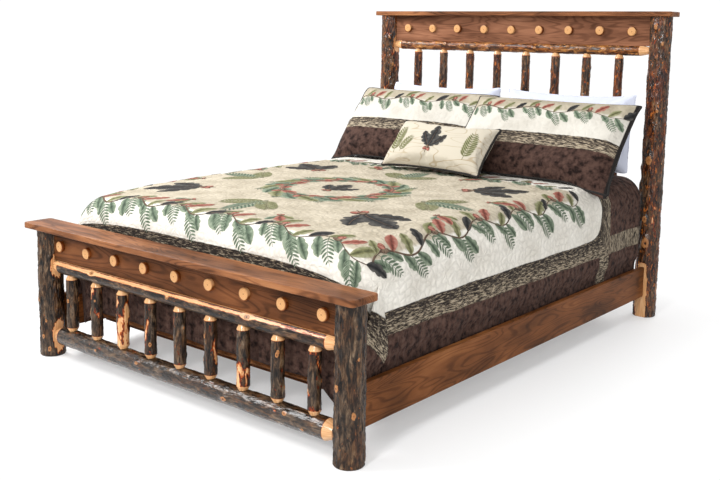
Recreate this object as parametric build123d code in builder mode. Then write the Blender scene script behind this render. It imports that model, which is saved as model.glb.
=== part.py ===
from build123d import *
import os
from math import cos, radians, sin, sqrt

# Rustic log bed, queen size.  Millimetres, +Z up, +X to the right as seen from the foot,
# +Y towards the headboard.  The origin is on the floor, under the middle of the bed.

# Mattress, which sets how far apart the posts stand
mattress_width = 1524
mattress_length = 2032
mattress_height = 279
mattress_corner = 120
mattress_edge = 90
mattress_side_gap = 30  # from its sides to the post axes
mattress_from_foot = 88  # from the foot post axes to its foot end
mattress_from_head = 70

# Posts: round logs, a little thicker at the butt end
foot_post_height = 522
foot_butt_radius = 53
foot_tip_radius = 51
head_post_height = 1417
head_butt_radius = 55
head_tip_radius = 51
foot_chamfer = 5
facet_depth = 7  # shaved hollow on a post, round each rail joint
facet_over = 24  # how far it runs past the rail, up and down
rail_flat_depth = 8  # planed flat that a side rail butts on
rail_flat_over = 9  # the flat ends this far above the side rail

# Caps: thick planks over the posts
cap_overhang = 68  # past the post axes, at each end
cap_thickness = 23
cap_corner = 14
cap_ease = 4
foot_cap_front = 74  # from the post axes towards the foot
foot_cap_back = 51
head_cap_front = 59
head_cap_back = 51
dowel_radius = 10
dowel_in_cap = 14
dowel_in_post = 40

# Cross rails of the headboard and footboard: logs with cone shoulders and round tenons
foot_lower_radius = 38
foot_lower_z = 90
foot_upper_radius = 30
foot_upper_drop = 147  # from the tops of the posts down to the rail's axis
head_lower_radius = 34
head_lower_z = 470
head_upper_radius = 27
head_upper_drop = 157
foot_seat_flat = 38  # width of the planed strip that carries the panel
head_seat_flat = 34
foot_shave = 1.6  # depth of the strip shaved off the foot's upper rail, in front of the panel
foot_shave_angle = 35  # how far above level that strip faces
rail_tenon_share = 0.52  # tenon radius, of the log's radius
rail_tenon_length = 45
rail_cone_share = 1.1  # length of the cone, of the log's radius

# Spindles
foot_spindle_count = 9
foot_spindle_end = 144  # from a post's axis to the first spindle's
foot_spindle_radius = 22
head_spindle_count = 8
head_spindle_end = 199
head_spindle_radius = 21
spindle_tenon_radius = 12.5
spindle_tenon_length = 20
spindle_cone_length = 17
shoulder_sink = 3  # the cone is let this far into the round of the rail

# Panels and their log-slice buttons
panel_thickness = 20
panel_in_post = 16
button_radius = 22
button_proud = 13
button_edge = 1.5
button_peg_radius = 7
button_peg_length = 12
foot_button_count = 9
foot_button_end = 98  # from a post's axis to the first button's
head_button_count = 9
head_button_end = 136

# Side rails and what is screwed to them
side_rail_thickness = 25
side_rail_height = 143
side_rail_z = 100
side_rail_out = 8  # the outer face stands this far outside the post axes
side_rail_ease = 3
cleat_width = 25
cleat_height = 38
cleat_lift = 4  # from the bottom edge of the side rail
cleat_end_gap = 170  # clear of the foot drop that wraps round the corner
cleat_screw_count = 6
cleat_screw_end = 59  # from the ends of the cleat

# Bed irons: a hook plate let into each rail end, a slotted plate let into each post
iron_width = 18
iron_height = 110
iron_thickness = 3
hook_thickness = 3
hook_neck = 16
hook_reach = 9
hook_lip = 6
hook_ease = 4
hook_pitch = 56
slot_over = 2
iron_screw_spacing = 98
hook_pocket_width = 10
screw_radius = 2
screw_head_radius = 4
screw_head_height = 2.2
iron_screw_length = 30
cleat_screw_length = 40

# What carries the mattress
beam_thickness = 30
beam_drop = 42  # how far a beam hangs below the top of the cleats
slat_thickness = 19
slat_width = 89
slat_side_gap = 2
beam_end_gap = 152  # from the ends of the mattress to the outer beams
beam_count = 3
slats_per_bay = 3
leg_radius = 24
leg_tenon_radius = 9
leg_tenon_length = 28
leg_chamfer = 3

# Soft goods
foundation_height = 229
quilt_thick = 22
quilt_tuck = 10  # thickness of the tucked edge, inside the side rails
quilt_top_thick = 12
side_hem_below = 15  # the side hem hangs this far below the rail's top
foot_hem_z = 135
quilt_from_head = 12
soft_gap = 0.3

throw_width = 554
throw_height = 268
throw_thickness = 120
throw_tilt = 47
throw_from_head = 644  # from the head end of the mattress to the cushion's lower edge
throw_aside = 30
sham_over = 32  # a sham is this much wider than half the mattress
sham_height = 480
sham_thickness = 110
sham_tilt = 47
sham_from_head = 465
sham_apart = 4
pillow_under = 72  # a white pillow is this much narrower than half the mattress
pillow_height = 385
pillow_thickness = 120
pillow_tilt = 80
pillow_from_head = 84
pillow_apart = 54
cushion_crown = 0.66  # size of a cushion's crown, of its outline
cushion_shoulder = 0.95  # and of its section between the crown and the seam
cushion_shoulder_at = 0.2  # where that section lies, of the thickness

# Clearances
tenon_fit = 0.15
tenon_end_gap = 1
tenon_chamfer = 1
screw_fit = 0.05
hook_fit = 0.3

# Derived places
post_spacing_x = mattress_width + 2 * mattress_side_gap
post_spacing_y = mattress_from_foot + mattress_length + mattress_from_head
post_x = post_spacing_x / 2
foot_upper_z = foot_post_height - foot_upper_drop
head_upper_z = head_post_height - head_upper_drop
foot_spindle_pitch = (post_spacing_x - 2 * foot_spindle_end) / (foot_spindle_count - 1)
head_spindle_pitch = (post_spacing_x - 2 * head_spindle_end) / (head_spindle_count - 1)
foot_button_pitch = (post_spacing_x - 2 * foot_button_end) / (foot_button_count - 1)
head_button_pitch = (post_spacing_x - 2 * head_button_end) / (head_button_count - 1)
foot_reach = max(foot_cap_front, foot_butt_radius)
head_reach = max(head_cap_back, head_butt_radius)
foot_post_y = -(post_spacing_y + head_reach - foot_reach) / 2
head_post_y = foot_post_y + post_spacing_y
half_foot_seat = sqrt(foot_upper_radius**2 - (foot_seat_flat / 2) ** 2)
half_head_seat = sqrt(head_upper_radius**2 - (head_seat_flat / 2) ** 2)
foot_panel_z = foot_upper_z + half_foot_seat
head_panel_z = head_upper_z + half_head_seat
side_rail_top = side_rail_z + side_rail_height
rail_outer_x = post_x + side_rail_out
rail_inner_x = rail_outer_x - side_rail_thickness
rail_mid_x = (rail_outer_x + rail_inner_x) / 2
rail_mid_z = side_rail_z + side_rail_height / 2
foot_flat_y = foot_post_y + foot_butt_radius - rail_flat_depth
head_flat_y = head_post_y - head_butt_radius + rail_flat_depth
cleat_z = side_rail_z + cleat_lift
cleat_top = cleat_z + cleat_height
cleat_length = head_flat_y - foot_flat_y - 2 * cleat_end_gap
cleat_mid_y = (foot_flat_y + head_flat_y) / 2
cleat_screw_pitch = (cleat_length - 2 * cleat_screw_end) / (cleat_screw_count - 1)
slat_top = cleat_top + slat_thickness
slat_half = rail_inner_x - slat_side_gap
beam_half = slat_half - cleat_width
beam_z = cleat_top - beam_drop
foundation_z = slat_top + soft_gap
mattress_z = foundation_z + foundation_height + soft_gap
mattress_top = mattress_z + mattress_height
mattress_foot_y = foot_post_y + mattress_from_foot
mattress_mid_y = mattress_foot_y + mattress_length / 2
mattress_head_y = mattress_foot_y + mattress_length
beam_pitch = (mattress_length - 2 * beam_end_gap) / (beam_count - 1)
quilt_top = mattress_top + soft_gap + quilt_top_thick
sham_width = mattress_width / 2 + sham_over
sham_x = (sham_width + sham_apart) / 2
pillow_width = mattress_width / 2 - pillow_under
pillow_x = (pillow_width + pillow_apart) / 2
cap_length = post_spacing_x + 2 * cap_overhang
hook_root_z = [rail_mid_z - hook_pitch / 2, rail_mid_z + hook_pitch / 2]
iron_screw_z = [rail_mid_z - iron_screw_spacing / 2, rail_mid_z + iron_screw_spacing / 2]

os.makedirs("parts", exist_ok=True)


def save(part, name):
    part.label = name
    export_step(part, f"parts/{name}.step")


def centred(count, pitch):
    return [(i - (count - 1) / 2) * pitch for i in range(count)]


def along_x(x, y, z, toward):
    # plane whose own Y runs along the bed's X, toward +1 or -1
    return Plane(origin=(x, y, z), x_dir=(0, 0, 1), z_dir=(0, toward, 0))


def along_z(x, y, z, toward=1):
    return Plane(origin=(x, y, z), x_dir=(1, 0, 0), z_dir=(0, -toward, 0))


def along_y(x, y, z, toward):
    return Plane(origin=(x, y, z), x_dir=(0, 0, 1), z_dir=(-toward, 0, 0))


def turn(plane, *points, mode=Mode.ADD):
    # solid of revolution about the plane's own Y axis; points are (radius, distance)
    with BuildSketch(plane) as outline:
        with BuildLine():
            Polyline(*points, close=True)
        make_face()
    revolve(outline.sketch, axis=Axis(plane.origin, plane.y_dir), mode=mode)


def tenoned_log(plane, span, radius, tenon, tenon_length, cone):
    # a log whose pencil-pointed ends carry round tenons; the span is shoulder to shoulder
    turn(
        plane,
        (0, -tenon_length),
        (tenon - tenon_chamfer, -tenon_length),
        (tenon, tenon_chamfer - tenon_length),
        (tenon, 0),
        (radius, cone),
        (radius, span - cone),
        (tenon, span),
        (tenon, span + tenon_length - tenon_chamfer),
        (tenon - tenon_chamfer, span + tenon_length),
        (0, span + tenon_length),
    )


def mortise(plane, radius, tenon, tenon_length, cone):
    # hole for such an end, with a mouth coned to the same slope; the plane is at its shoulder
    mouth = tenon + tenon_fit
    depth = tenon_length + tenon_end_gap
    turn(
        plane,
        (0, -depth),
        (mouth, -depth),
        (mouth, 0),
        (radius + tenon_fit, cone),
        (0, cone),
        mode=Mode.SUBTRACT,
    )


# The two frames


def post_radius(butt, tip, height, z):
    return butt + (tip - butt) * z / height


def rail_sizes(radius):
    return radius, rail_tenon_share * radius, rail_tenon_length, rail_cone_share * radius


def shoulder(butt, tip, height, z):
    # distance from the post's axis to the shaved facet that a cross rail's cone meets
    return post_radius(butt, tip, height, z) - facet_depth


def post(side, y, toward, butt, tip, height, rails, panel_z):
    # a post; side is -1 left or +1 right, toward points along Y to the side rail
    x = side * post_x
    flat = butt - rail_flat_depth
    with BuildPart() as log:
        turn(
            along_z(x, y, 0),
            (0, 0),
            (butt - foot_chamfer, 0),
            (post_radius(butt, tip, height, foot_chamfer), foot_chamfer),
            (tip, height),
            (0, height),
        )
        for radius, z in rails:
            reach = shoulder(butt, tip, height, z)
            half = radius + facet_over
            scoop = (half**2 + facet_depth**2) / (2 * facet_depth)
            axis = Plane(origin=(x - side * (reach + scoop), y, z), x_dir=(-side, 0, 0), z_dir=(0, 1, 0))
            with Locations(axis):
                Cylinder(scoop, 3 * butt, mode=Mode.SUBTRACT)
            mortise(along_x(x - side * reach, y, z, -side), *rail_sizes(radius))
        # planed flat for the side rail, run out above it
        with BuildSketch(Plane(origin=(x, y, 0), x_dir=(0, toward, 0), z_dir=(toward, 0, 0))):
            with BuildLine():
                Polyline(
                    (flat, 0),
                    (2 * butt, 0),
                    (2 * butt, side_rail_top + rail_flat_over + 2 * butt),
                    (flat, side_rail_top + rail_flat_over),
                    close=True,
                )
            make_face()
        extrude(amount=2 * butt, both=True, mode=Mode.SUBTRACT)
        # groove that the panel slides down
        reach = post_radius(butt, tip, height, panel_z)
        with Locations((x - side * reach, y, panel_z)):
            Box(
                2 * (panel_in_post + tenon_end_gap),
                panel_thickness + 2 * tenon_fit,
                height - panel_z,
                align=(Align.CENTER, Align.CENTER, Align.MIN),
                mode=Mode.SUBTRACT,
            )
        # dowel hole in the top
        with Locations((x, y, height)):
            Cylinder(dowel_radius + tenon_fit, 2 * (dowel_in_post + tenon_end_gap), mode=Mode.SUBTRACT)
        # recess for the slotted iron, the pocket behind it and its screw holes
        with Locations((side * rail_mid_x, y + toward * flat, rail_mid_z)):
            Box(
                iron_width + 2 * tenon_fit,
                2 * iron_thickness,
                iron_height + 2 * tenon_fit,
                mode=Mode.SUBTRACT,
            )
            Box(
                hook_pocket_width,
                2 * (iron_thickness + hook_reach + tenon_end_gap),
                hook_pitch + hook_neck + 2 * (hook_lip + tenon_end_gap),
                mode=Mode.SUBTRACT,
            )
        for z in iron_screw_z:
            turn(
                along_y(side * rail_mid_x, y + toward * flat, z, -toward),
                (0, 0),
                (screw_radius + screw_fit, 0),
                (screw_radius + screw_fit, iron_screw_length + tenon_end_gap),
                (0, iron_screw_length + tenon_end_gap),
                mode=Mode.SUBTRACT,
            )
    return log.part


def cross_rail(y, z, radius, reach, spindle_x, spindle_radius, faces, cuts=()):
    # a log rail; faces is +1 where spindles enter from above, -1 from below; each planed cut is
    # its angle above level, turned to the foot, and its distance from the axis
    with BuildPart() as log:
        span = 2 * (post_x - reach)
        tenoned_log(along_x(-span / 2, y, z, 1), span, *rail_sizes(radius))
        for x in spindle_x:
            mortise(
                along_z(x, y, z + faces * (radius - shoulder_sink), faces),
                spindle_radius,
                spindle_tenon_radius,
                spindle_tenon_length,
                spindle_cone_length,
            )
        for angle, distance in cuts:
            facing = (0, -cos(radians(angle)), sin(radians(angle)))
            with Locations(Plane(origin=(0, y, z), x_dir=(1, 0, 0), z_dir=facing).offset(distance)):
                Box(
                    2 * post_x,
                    2 * radius,
                    radius,
                    align=(Align.CENTER, Align.CENTER, Align.MIN),
                    mode=Mode.SUBTRACT,
                )
    return log.part


def spindle(x, y, low, high, radius):
    with BuildPart() as log:
        tenoned_log(
            along_z(x, y, low),
            high - low,
            radius,
            spindle_tenon_radius,
            spindle_tenon_length,
            spindle_cone_length,
        )
    return log.part


def panel(y, z, top, half_length, button_x):
    with BuildPart() as plank:
        with Locations((0, y, z)):
            Box(
                2 * half_length,
                panel_thickness,
                top - z,
                align=(Align.CENTER, Align.CENTER, Align.MIN),
            )
        for x in button_x:
            turn(
                along_y(x, y - panel_thickness / 2, (z + top) / 2, 1),
                (0, 0),
                (button_peg_radius + tenon_fit, 0),
                (button_peg_radius + tenon_fit, button_peg_length + tenon_end_gap),
                (0, button_peg_length + tenon_end_gap),
                mode=Mode.SUBTRACT,
            )
    return plank.part


def buttons(y, z, button_x):
    front = y - panel_thickness / 2
    with BuildPart() as slices:
        for x in button_x:
            turn(
                along_y(x, front, z, -1),
                (0, -button_peg_length),
                (button_peg_radius, -button_peg_length),
                (button_peg_radius, 0),
                (button_radius, 0),
                (button_radius, button_proud - button_edge),
                (button_radius - button_edge, button_proud),
                (0, button_proud),
            )
    return slices.part


def cap(y, z, front, back):
    with BuildPart() as plank:
        with BuildSketch(Plane.XY.offset(z)):
            with Locations((0, y + (back - front) / 2)):
                RectangleRounded(cap_length, front + back, cap_corner)
        extrude(amount=cap_thickness)
        fillet(plank.faces().sort_by(Axis.Z)[-1].edges(), cap_ease)
        fillet(plank.faces().sort_by(Axis.Z)[0].edges(), cap_ease)
        with Locations((-post_x, y, z), (post_x, y, z)):
            Cylinder(dowel_radius + tenon_fit, 2 * (dowel_in_cap + tenon_end_gap), mode=Mode.SUBTRACT)
    return plank.part


def cap_dowels(y, z):
    with BuildPart() as pins:
        with Locations((-post_x, y, z - dowel_in_post), (post_x, y, z - dowel_in_post)):
            Cylinder(
                dowel_radius,
                dowel_in_post + dowel_in_cap,
                align=(Align.CENTER, Align.CENTER, Align.MIN),
            )
    return pins.part


foot_shape = (foot_butt_radius, foot_tip_radius, foot_post_height)
head_shape = (head_butt_radius, head_tip_radius, head_post_height)
foot_rails = [(foot_lower_radius, foot_lower_z), (foot_upper_radius, foot_upper_z)]
head_rails = [(head_lower_radius, head_lower_z), (head_upper_radius, head_upper_z)]
for side, hand in [(-1, "left"), (1, "right")]:
    save(post(side, foot_post_y, 1, *foot_shape, foot_rails, foot_panel_z), f"foot_post_{hand}")
    save(post(side, head_post_y, -1, *head_shape, head_rails, head_panel_z), f"head_post_{hand}")

foot_spindle_x = centred(foot_spindle_count, foot_spindle_pitch)
head_spindle_x = centred(head_spindle_count, head_spindle_pitch)
foot_cuts = [(90, half_foot_seat), (foot_shave_angle, foot_upper_radius - foot_shave)]
head_cuts = [(90, half_head_seat)]
for name, y, shape, rails, cuts, spindle_x, radius in [
    ("foot", foot_post_y, foot_shape, foot_rails, foot_cuts, foot_spindle_x, foot_spindle_radius),
    ("head", head_post_y, head_shape, head_rails, head_cuts, head_spindle_x, head_spindle_radius),
]:
    (low_radius, low_z), (high_radius, high_z) = rails
    low_rail = cross_rail(y, low_z, low_radius, shoulder(*shape, low_z), spindle_x, radius, 1)
    high_rail = cross_rail(y, high_z, high_radius, shoulder(*shape, high_z), spindle_x, radius, -1, cuts)
    save(low_rail, f"{name}_lower_rail")
    save(high_rail, f"{name}_upper_rail")
    low = low_z + low_radius - shoulder_sink
    high = high_z - high_radius + shoulder_sink
    for number, x in enumerate(spindle_x, 1):
        save(spindle(x, y, low, high, radius), f"{name}_spindle_{number}")

foot_button_x = centred(foot_button_count, foot_button_pitch)
head_button_x = centred(head_button_count, head_button_pitch)
for name, y, shape, z, button_x, front, back in [
    ("foot", foot_post_y, foot_shape, foot_panel_z, foot_button_x, foot_cap_front, foot_cap_back),
    ("head", head_post_y, head_shape, head_panel_z, head_button_x, head_cap_front, head_cap_back),
]:
    top = shape[2]
    half_length = post_x - post_radius(*shape, z) + panel_in_post
    save(panel(y, z, top, half_length, button_x), f"{name}_panel")
    save(buttons(y, (z + top) / 2, button_x), f"{name}_buttons")
    save(cap(y, top, front, back), f"{name}_cap")
    save(cap_dowels(y, top), f"{name}_cap_dowels")

# Side rails, cleats and bed irons


def screw(plane, length):
    # countersunk screw; the plane is at the face of its head
    turn(
        plane,
        (0, 0),
        (screw_head_radius, 0),
        (screw_radius, screw_head_height),
        (screw_radius, length - 2 * screw_radius),
        (0, length),
    )


def screw_hole(plane, length):
    wide = screw_radius + screw_fit
    turn(
        plane,
        (0, 0),
        (screw_head_radius + screw_fit, 0),
        (wide, screw_head_height),
        (wide, length + tenon_end_gap),
        (0, length + tenon_end_gap),
        mode=Mode.SUBTRACT,
    )


# each rail end: its side, its end plane and the way out of the rail
rail_ends = [(side, y, way) for side in (-1, 1) for y, way in ((foot_flat_y, -1), (head_flat_y, 1))]
cleat_screw_y = [cleat_mid_y + y for y in centred(cleat_screw_count, cleat_screw_pitch)]


def side_rail(side):
    with BuildPart() as plank:
        with BuildSketch(Plane(origin=(0, foot_flat_y, 0), x_dir=(1, 0, 0), z_dir=(0, -1, 0))):
            with Locations((side * rail_mid_x, rail_mid_z)):
                RectangleRounded(side_rail_thickness, side_rail_height, side_rail_ease)
        extrude(amount=foot_flat_y - head_flat_y)
        for end_side, y, way in rail_ends:
            if end_side != side:
                continue
            with Locations((side * rail_mid_x, y, rail_mid_z)):
                Box(
                    iron_width + 2 * tenon_fit,
                    2 * iron_thickness,
                    iron_height + 2 * tenon_fit,
                    mode=Mode.SUBTRACT,
                )
            for z in iron_screw_z:
                screw_hole(along_y(side * rail_mid_x, y, z, -way), iron_screw_length)
        for y in cleat_screw_y:
            face = along_x(side * (rail_inner_x - cleat_width), y, cleat_z + cleat_height / 2, side)
            screw_hole(face, cleat_screw_length)
    return plank.part


def cleat(side):
    with BuildPart() as strip:
        with Locations((side * (rail_inner_x - cleat_width / 2), cleat_mid_y, cleat_z)):
            Box(
                cleat_width,
                cleat_length,
                cleat_height,
                align=(Align.CENTER, Align.CENTER, Align.MIN),
            )
        for y in cleat_screw_y:
            face = along_x(side * (rail_inner_x - cleat_width), y, cleat_z + cleat_height / 2, side)
            screw_hole(face, cleat_screw_length)
    return strip.part


def hook_plate(side, y, way):
    # plate flush with the rail's end; its hooks pass through the slots and drop behind them
    with BuildPart() as iron:
        with Locations((side * rail_mid_x, y - way * iron_thickness / 2, rail_mid_z)):
            Box(iron_width, iron_thickness, iron_height)
        for z in hook_root_z:
            reach = iron_thickness + hook_reach
            with BuildSketch(Plane(origin=(side * rail_mid_x, y, z), x_dir=(0, way, 0), z_dir=(way, 0, 0))):
                with BuildLine():
                    Polyline(
                        (-iron_thickness, -hook_neck / 2),
                        (iron_thickness + hook_fit, -hook_neck / 2),
                        (iron_thickness + hook_fit, -hook_neck / 2 - hook_lip),
                        (reach, -hook_neck / 2 - hook_lip + hook_ease),
                        (reach, hook_neck / 2 - hook_ease),
                        (reach - hook_ease, hook_neck / 2),
                        (-iron_thickness, hook_neck / 2),
                        close=True,
                    )
                make_face()
            extrude(amount=hook_thickness / 2, both=True)
        for z in iron_screw_z:
            screw_hole(along_y(side * rail_mid_x, y, z, -way), iron_screw_length)
    return iron.part


def slotted_plate(side, y, way):
    with BuildPart() as iron:
        with Locations((side * rail_mid_x, y + way * iron_thickness / 2, rail_mid_z)):
            Box(iron_width, iron_thickness, iron_height)
        slot = hook_neck + hook_lip + slot_over
        for z in hook_root_z:
            with Locations((side * rail_mid_x, y, z - hook_neck / 2 - hook_fit)):
                Box(
                    hook_thickness + 2 * hook_fit,
                    4 * iron_thickness,
                    slot,
                    align=(Align.CENTER, Align.CENTER, Align.MIN),
                    mode=Mode.SUBTRACT,
                )
        for z in iron_screw_z:
            screw_hole(along_y(side * rail_mid_x, y, z, way), iron_screw_length)
    return iron.part


for side, hand in [(-1, "left"), (1, "right")]:
    save(side_rail(side), f"side_rail_{hand}")
    save(cleat(side), f"rail_cleat_{hand}")

save(Compound(children=[hook_plate(*end) for end in rail_ends]), "hook_plates")
save(Compound(children=[slotted_plate(*end) for end in rail_ends]), "slotted_plates")

with BuildPart() as hook_screws:
    for side, y, way in rail_ends:
        for z in iron_screw_z:
            screw(along_y(side * rail_mid_x, y, z, -way), iron_screw_length)
save(hook_screws.part, "hook_plate_screws")

with BuildPart() as slot_screws:
    for side, y, way in rail_ends:
        for z in iron_screw_z:
            screw(along_y(side * rail_mid_x, y, z, way), iron_screw_length)
save(slot_screws.part, "slotted_plate_screws")

with BuildPart() as cleat_screws:
    for side in (-1, 1):
        for y in cleat_screw_y:
            face = along_x(side * (rail_inner_x - cleat_width), y, cleat_z + cleat_height / 2, side)
            screw(face, cleat_screw_length)
save(cleat_screws.part, "cleat_screws")

# Beams, slats and the centre leg

beam_y = [mattress_foot_y + beam_end_gap + i * beam_pitch for i in range(beam_count)]


def beam(y, on_leg):
    # stands on edge between the cleats, with ears that rest on them
    with BuildPart() as plank:
        with BuildSketch(Plane(origin=(0, y, 0), x_dir=(1, 0, 0), z_dir=(0, -1, 0))):
            with BuildLine():
                Polyline(
                    (-slat_half, slat_top),
                    (-slat_half, cleat_top),
                    (-beam_half, cleat_top),
                    (-beam_half, beam_z),
                    (beam_half, beam_z),
                    (beam_half, cleat_top),
                    (slat_half, cleat_top),
                    (slat_half, slat_top),
                    close=True,
                )
            make_face()
        extrude(amount=beam_thickness / 2, both=True)
        if on_leg:
            with Locations((0, y, beam_z)):
                Cylinder(
                    leg_tenon_radius + tenon_fit,
                    2 * (leg_tenon_length + tenon_end_gap),
                    mode=Mode.SUBTRACT,
                )
    return plank.part


for name, y in zip(("foot", "middle", "head"), beam_y):
    save(beam(y, name == "middle"), f"cross_beam_{name}")

with BuildPart() as slats:
    for start in beam_y[:2]:
        for i in range(slats_per_bay):
            y = start + beam_pitch * (i + 1) / (slats_per_bay + 1)
            with Locations((0, y, cleat_top)):
                Box(
                    2 * slat_half,
                    slat_width,
                    slat_thickness,
                    align=(Align.CENTER, Align.CENTER, Align.MIN),
                )
save(slats.part, "slats")

with BuildPart() as centre_leg:
    turn(
        along_z(0, beam_y[1], 0),
        (0, 0),
        (leg_radius - leg_chamfer, 0),
        (leg_radius, leg_chamfer),
        (leg_radius, beam_z),
        (leg_tenon_radius, beam_z),
        (leg_tenon_radius, beam_z + leg_tenon_length),
        (0, beam_z + leg_tenon_length),
    )
save(centre_leg.part, "centre_leg")

# Soft goods


def bedding_block(z, height, edge):
    with BuildPart() as block:
        with BuildSketch(Plane.XY.offset(z)):
            with Locations((0, mattress_mid_y)):
                RectangleRounded(mattress_width, mattress_length, mattress_corner)
        extrude(amount=height)
        if edge:
            fillet(block.faces().sort_by(Axis.Z)[-1].edges(), edge)
    return block.part


save(bedding_block(foundation_z, foundation_height, 0), "foundation")
save(bedding_block(mattress_z, mattress_height, mattress_edge), "mattress")


def quilt_form(grow, low, high, edge):
    # the mattress's outline grown on both sides and at the foot, open past the head end
    width = mattress_width + 2 * grow
    length = mattress_length + grow + 2 * mattress_corner
    with BuildPart(mode=Mode.PRIVATE) as form:
        with BuildSketch(Plane.XY.offset(low)):
            with Locations((0, mattress_foot_y - grow + length / 2)):
                RectangleRounded(width, length, mattress_corner + grow)
        extrude(amount=high - low)
        if edge:
            fillet(form.faces().sort_by(Axis.Z)[-1].edges(), edge)
    return form.part


quilt_head_y = mattress_head_y - quilt_from_head
quilt_grow = soft_gap + quilt_thick
tuck_grow = soft_gap + quilt_tuck
with BuildPart() as quilt:
    add(quilt_form(quilt_grow, side_rail_top + soft_gap, quilt_top, mattress_edge + quilt_top_thick))
    add(quilt_form(tuck_grow, foot_hem_z, side_rail_top + 2 * quilt_tuck, 0))
    inner_top = mattress_top + soft_gap
    add(quilt_form(soft_gap, foot_hem_z - quilt_thick, inner_top, mattress_edge), mode=Mode.SUBTRACT)
    # the side drops end just inside the rails, the foot drop hangs lower
    with Locations((0, mattress_foot_y + mattress_corner, foot_hem_z - quilt_thick)):
        Box(
            2 * mattress_width,
            2 * mattress_length,
            side_rail_top - side_hem_below - foot_hem_z + quilt_thick,
            align=(Align.CENTER, Align.MIN, Align.MIN),
            mode=Mode.SUBTRACT,
        )
    split(bisect_by=Plane(origin=(0, quilt_head_y, 0), z_dir=(0, -1, 0)), keep=Keep.TOP)
save(quilt.part, "quilt")


def cushion(x, touch_y, tilt, width, height, thickness):
    # leaning cushion with a crowned front and back, resting on the quilt on its lower edge
    s, c = sin(radians(tilt)), cos(radians(tilt))
    levels = [
        (-thickness / 2, cushion_crown),
        (-cushion_shoulder_at * thickness, cushion_shoulder),
        (0, 1),
        (cushion_shoulder_at * thickness, cushion_shoulder),
        (thickness / 2, cushion_crown),
    ]
    lowest = min(n * c - share * height / 2 * s for n, share in levels)
    centre = (x, touch_y + height / 2 * c, quilt_top + soft_gap - lowest)
    with BuildPart() as pad:
        for n, share in levels:
            plane = Plane(origin=centre, x_dir=(1, 0, 0), z_dir=(0, -s, c)).offset(n)
            with BuildSketch(plane):
                RectangleRounded(
                    width - (1 - share) * height,
                    share * height,
                    share * thickness / 2,
                )
        loft(ruled=True)
    return pad.part


for side, hand in [(-1, "left"), (1, "right")]:
    pillow_y = mattress_head_y - pillow_from_head
    sham_y = mattress_head_y - sham_from_head
    white = cushion(side * pillow_x, pillow_y, pillow_tilt, pillow_width, pillow_height, pillow_thickness)
    sham = cushion(side * sham_x, sham_y, sham_tilt, sham_width, sham_height, sham_thickness)
    save(white, f"pillow_{hand}")
    save(sham, f"sham_{hand}")
throw_y = mattress_head_y - throw_from_head
throw_sizes = (throw_width, throw_height, throw_thickness)
save(cushion(throw_aside, throw_y, throw_tilt, *throw_sizes), "throw_pillow")
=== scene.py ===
import bpy
import bmesh
import math
import numpy as np
from functools import partial
from mathutils import Matrix, Vector
from mathutils.bvhtree import BVHTree


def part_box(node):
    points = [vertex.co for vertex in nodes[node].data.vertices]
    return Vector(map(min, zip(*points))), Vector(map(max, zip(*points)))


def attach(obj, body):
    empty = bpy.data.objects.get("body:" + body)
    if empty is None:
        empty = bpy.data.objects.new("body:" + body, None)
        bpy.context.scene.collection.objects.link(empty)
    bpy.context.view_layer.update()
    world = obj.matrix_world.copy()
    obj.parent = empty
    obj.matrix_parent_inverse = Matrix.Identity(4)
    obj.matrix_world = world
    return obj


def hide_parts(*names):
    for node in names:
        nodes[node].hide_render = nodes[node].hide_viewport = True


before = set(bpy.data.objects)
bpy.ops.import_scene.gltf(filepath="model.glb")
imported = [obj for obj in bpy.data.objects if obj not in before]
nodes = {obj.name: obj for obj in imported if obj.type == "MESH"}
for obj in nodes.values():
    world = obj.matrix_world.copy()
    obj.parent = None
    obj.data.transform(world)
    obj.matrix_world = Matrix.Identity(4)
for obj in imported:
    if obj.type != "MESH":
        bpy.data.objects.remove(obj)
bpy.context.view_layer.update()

bedBody = "bed"
throwBody = "throw_pillow"


def middle(node):
    lo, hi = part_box(node)
    return (lo + hi) / 2


def colour(hexCode):
    # sRGB hex to the linear colour that Blender wants
    parts = [int(hexCode[i:i + 2], 16) / 255 for i in (1, 3, 5)]
    return tuple(c / 12.92 if c <= 0.04045 else ((c + 0.055) / 1.055) ** 2.4 for c in parts) + (1.0,)


def plug(socket, value):
    # fills a socket with a value, or links it to another socket or to a node's first shown output
    if isinstance(value, bpy.types.Node):
        value = next(s for s in value.outputs if s.enabled)
    if isinstance(value, bpy.types.NodeSocket):
        socket.id_data.links.new(value, socket)
    elif value is not None:
        socket.default_value = value


def addNode(tree, kind, *inputs, **settings):
    # adds a node, sets its settings and fills the inputs it then shows, in their order; None leaves one alone;
    # a sum's operation stands after its kind
    kind, _, operation = kind.partition(" ")
    made = tree.nodes.new(kind if "Node" in kind else "ShaderNode" + kind)
    if operation:
        made.operation = operation.upper()
    for key, value in settings.items():
        setattr(made, key, value)
    for socket, value in zip([s for s in made.inputs if s.enabled], inputs):
        plug(socket, value)
    return made


def surfaced(material, **inputs):
    # fills the shader's inputs, which are named with _ for a space
    shader = material.node_tree.nodes["Principled BSDF"]
    for key, value in inputs.items():
        plug(shader.inputs[key.replace("_", " ")], value)
    return material


def newMaterial(name, **inputs):
    # a material and the call that adds nodes to it; oiled wood and dry cloth reflect little
    made = bpy.data.materials.new(name)
    made.use_nodes = True
    surfaced(made, Specular_IOR_Level=0.05, **inputs)
    return made, partial(addNode, made.node_tree)


def ramp(add, factor, stops):
    # colour ramp from (position, hex) stops
    made, stops = add("ValToRGB", factor), list(stops)
    elements = made.color_ramp.elements
    while len(elements) < len(stops):
        elements.new(0.5)
    for element, (at, code) in zip(elements, stops):
        element.position = at
        element.color = colour(code)
    return made


def mottled(add, where, scale, stops, detail=4.0):
    return ramp(add, add("TexNoise", where, scale, detail, 0.6), stops)


def layered(add, base, top, factor):
    return add("Mix", factor, base, top, data_type="RGBA")


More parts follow.
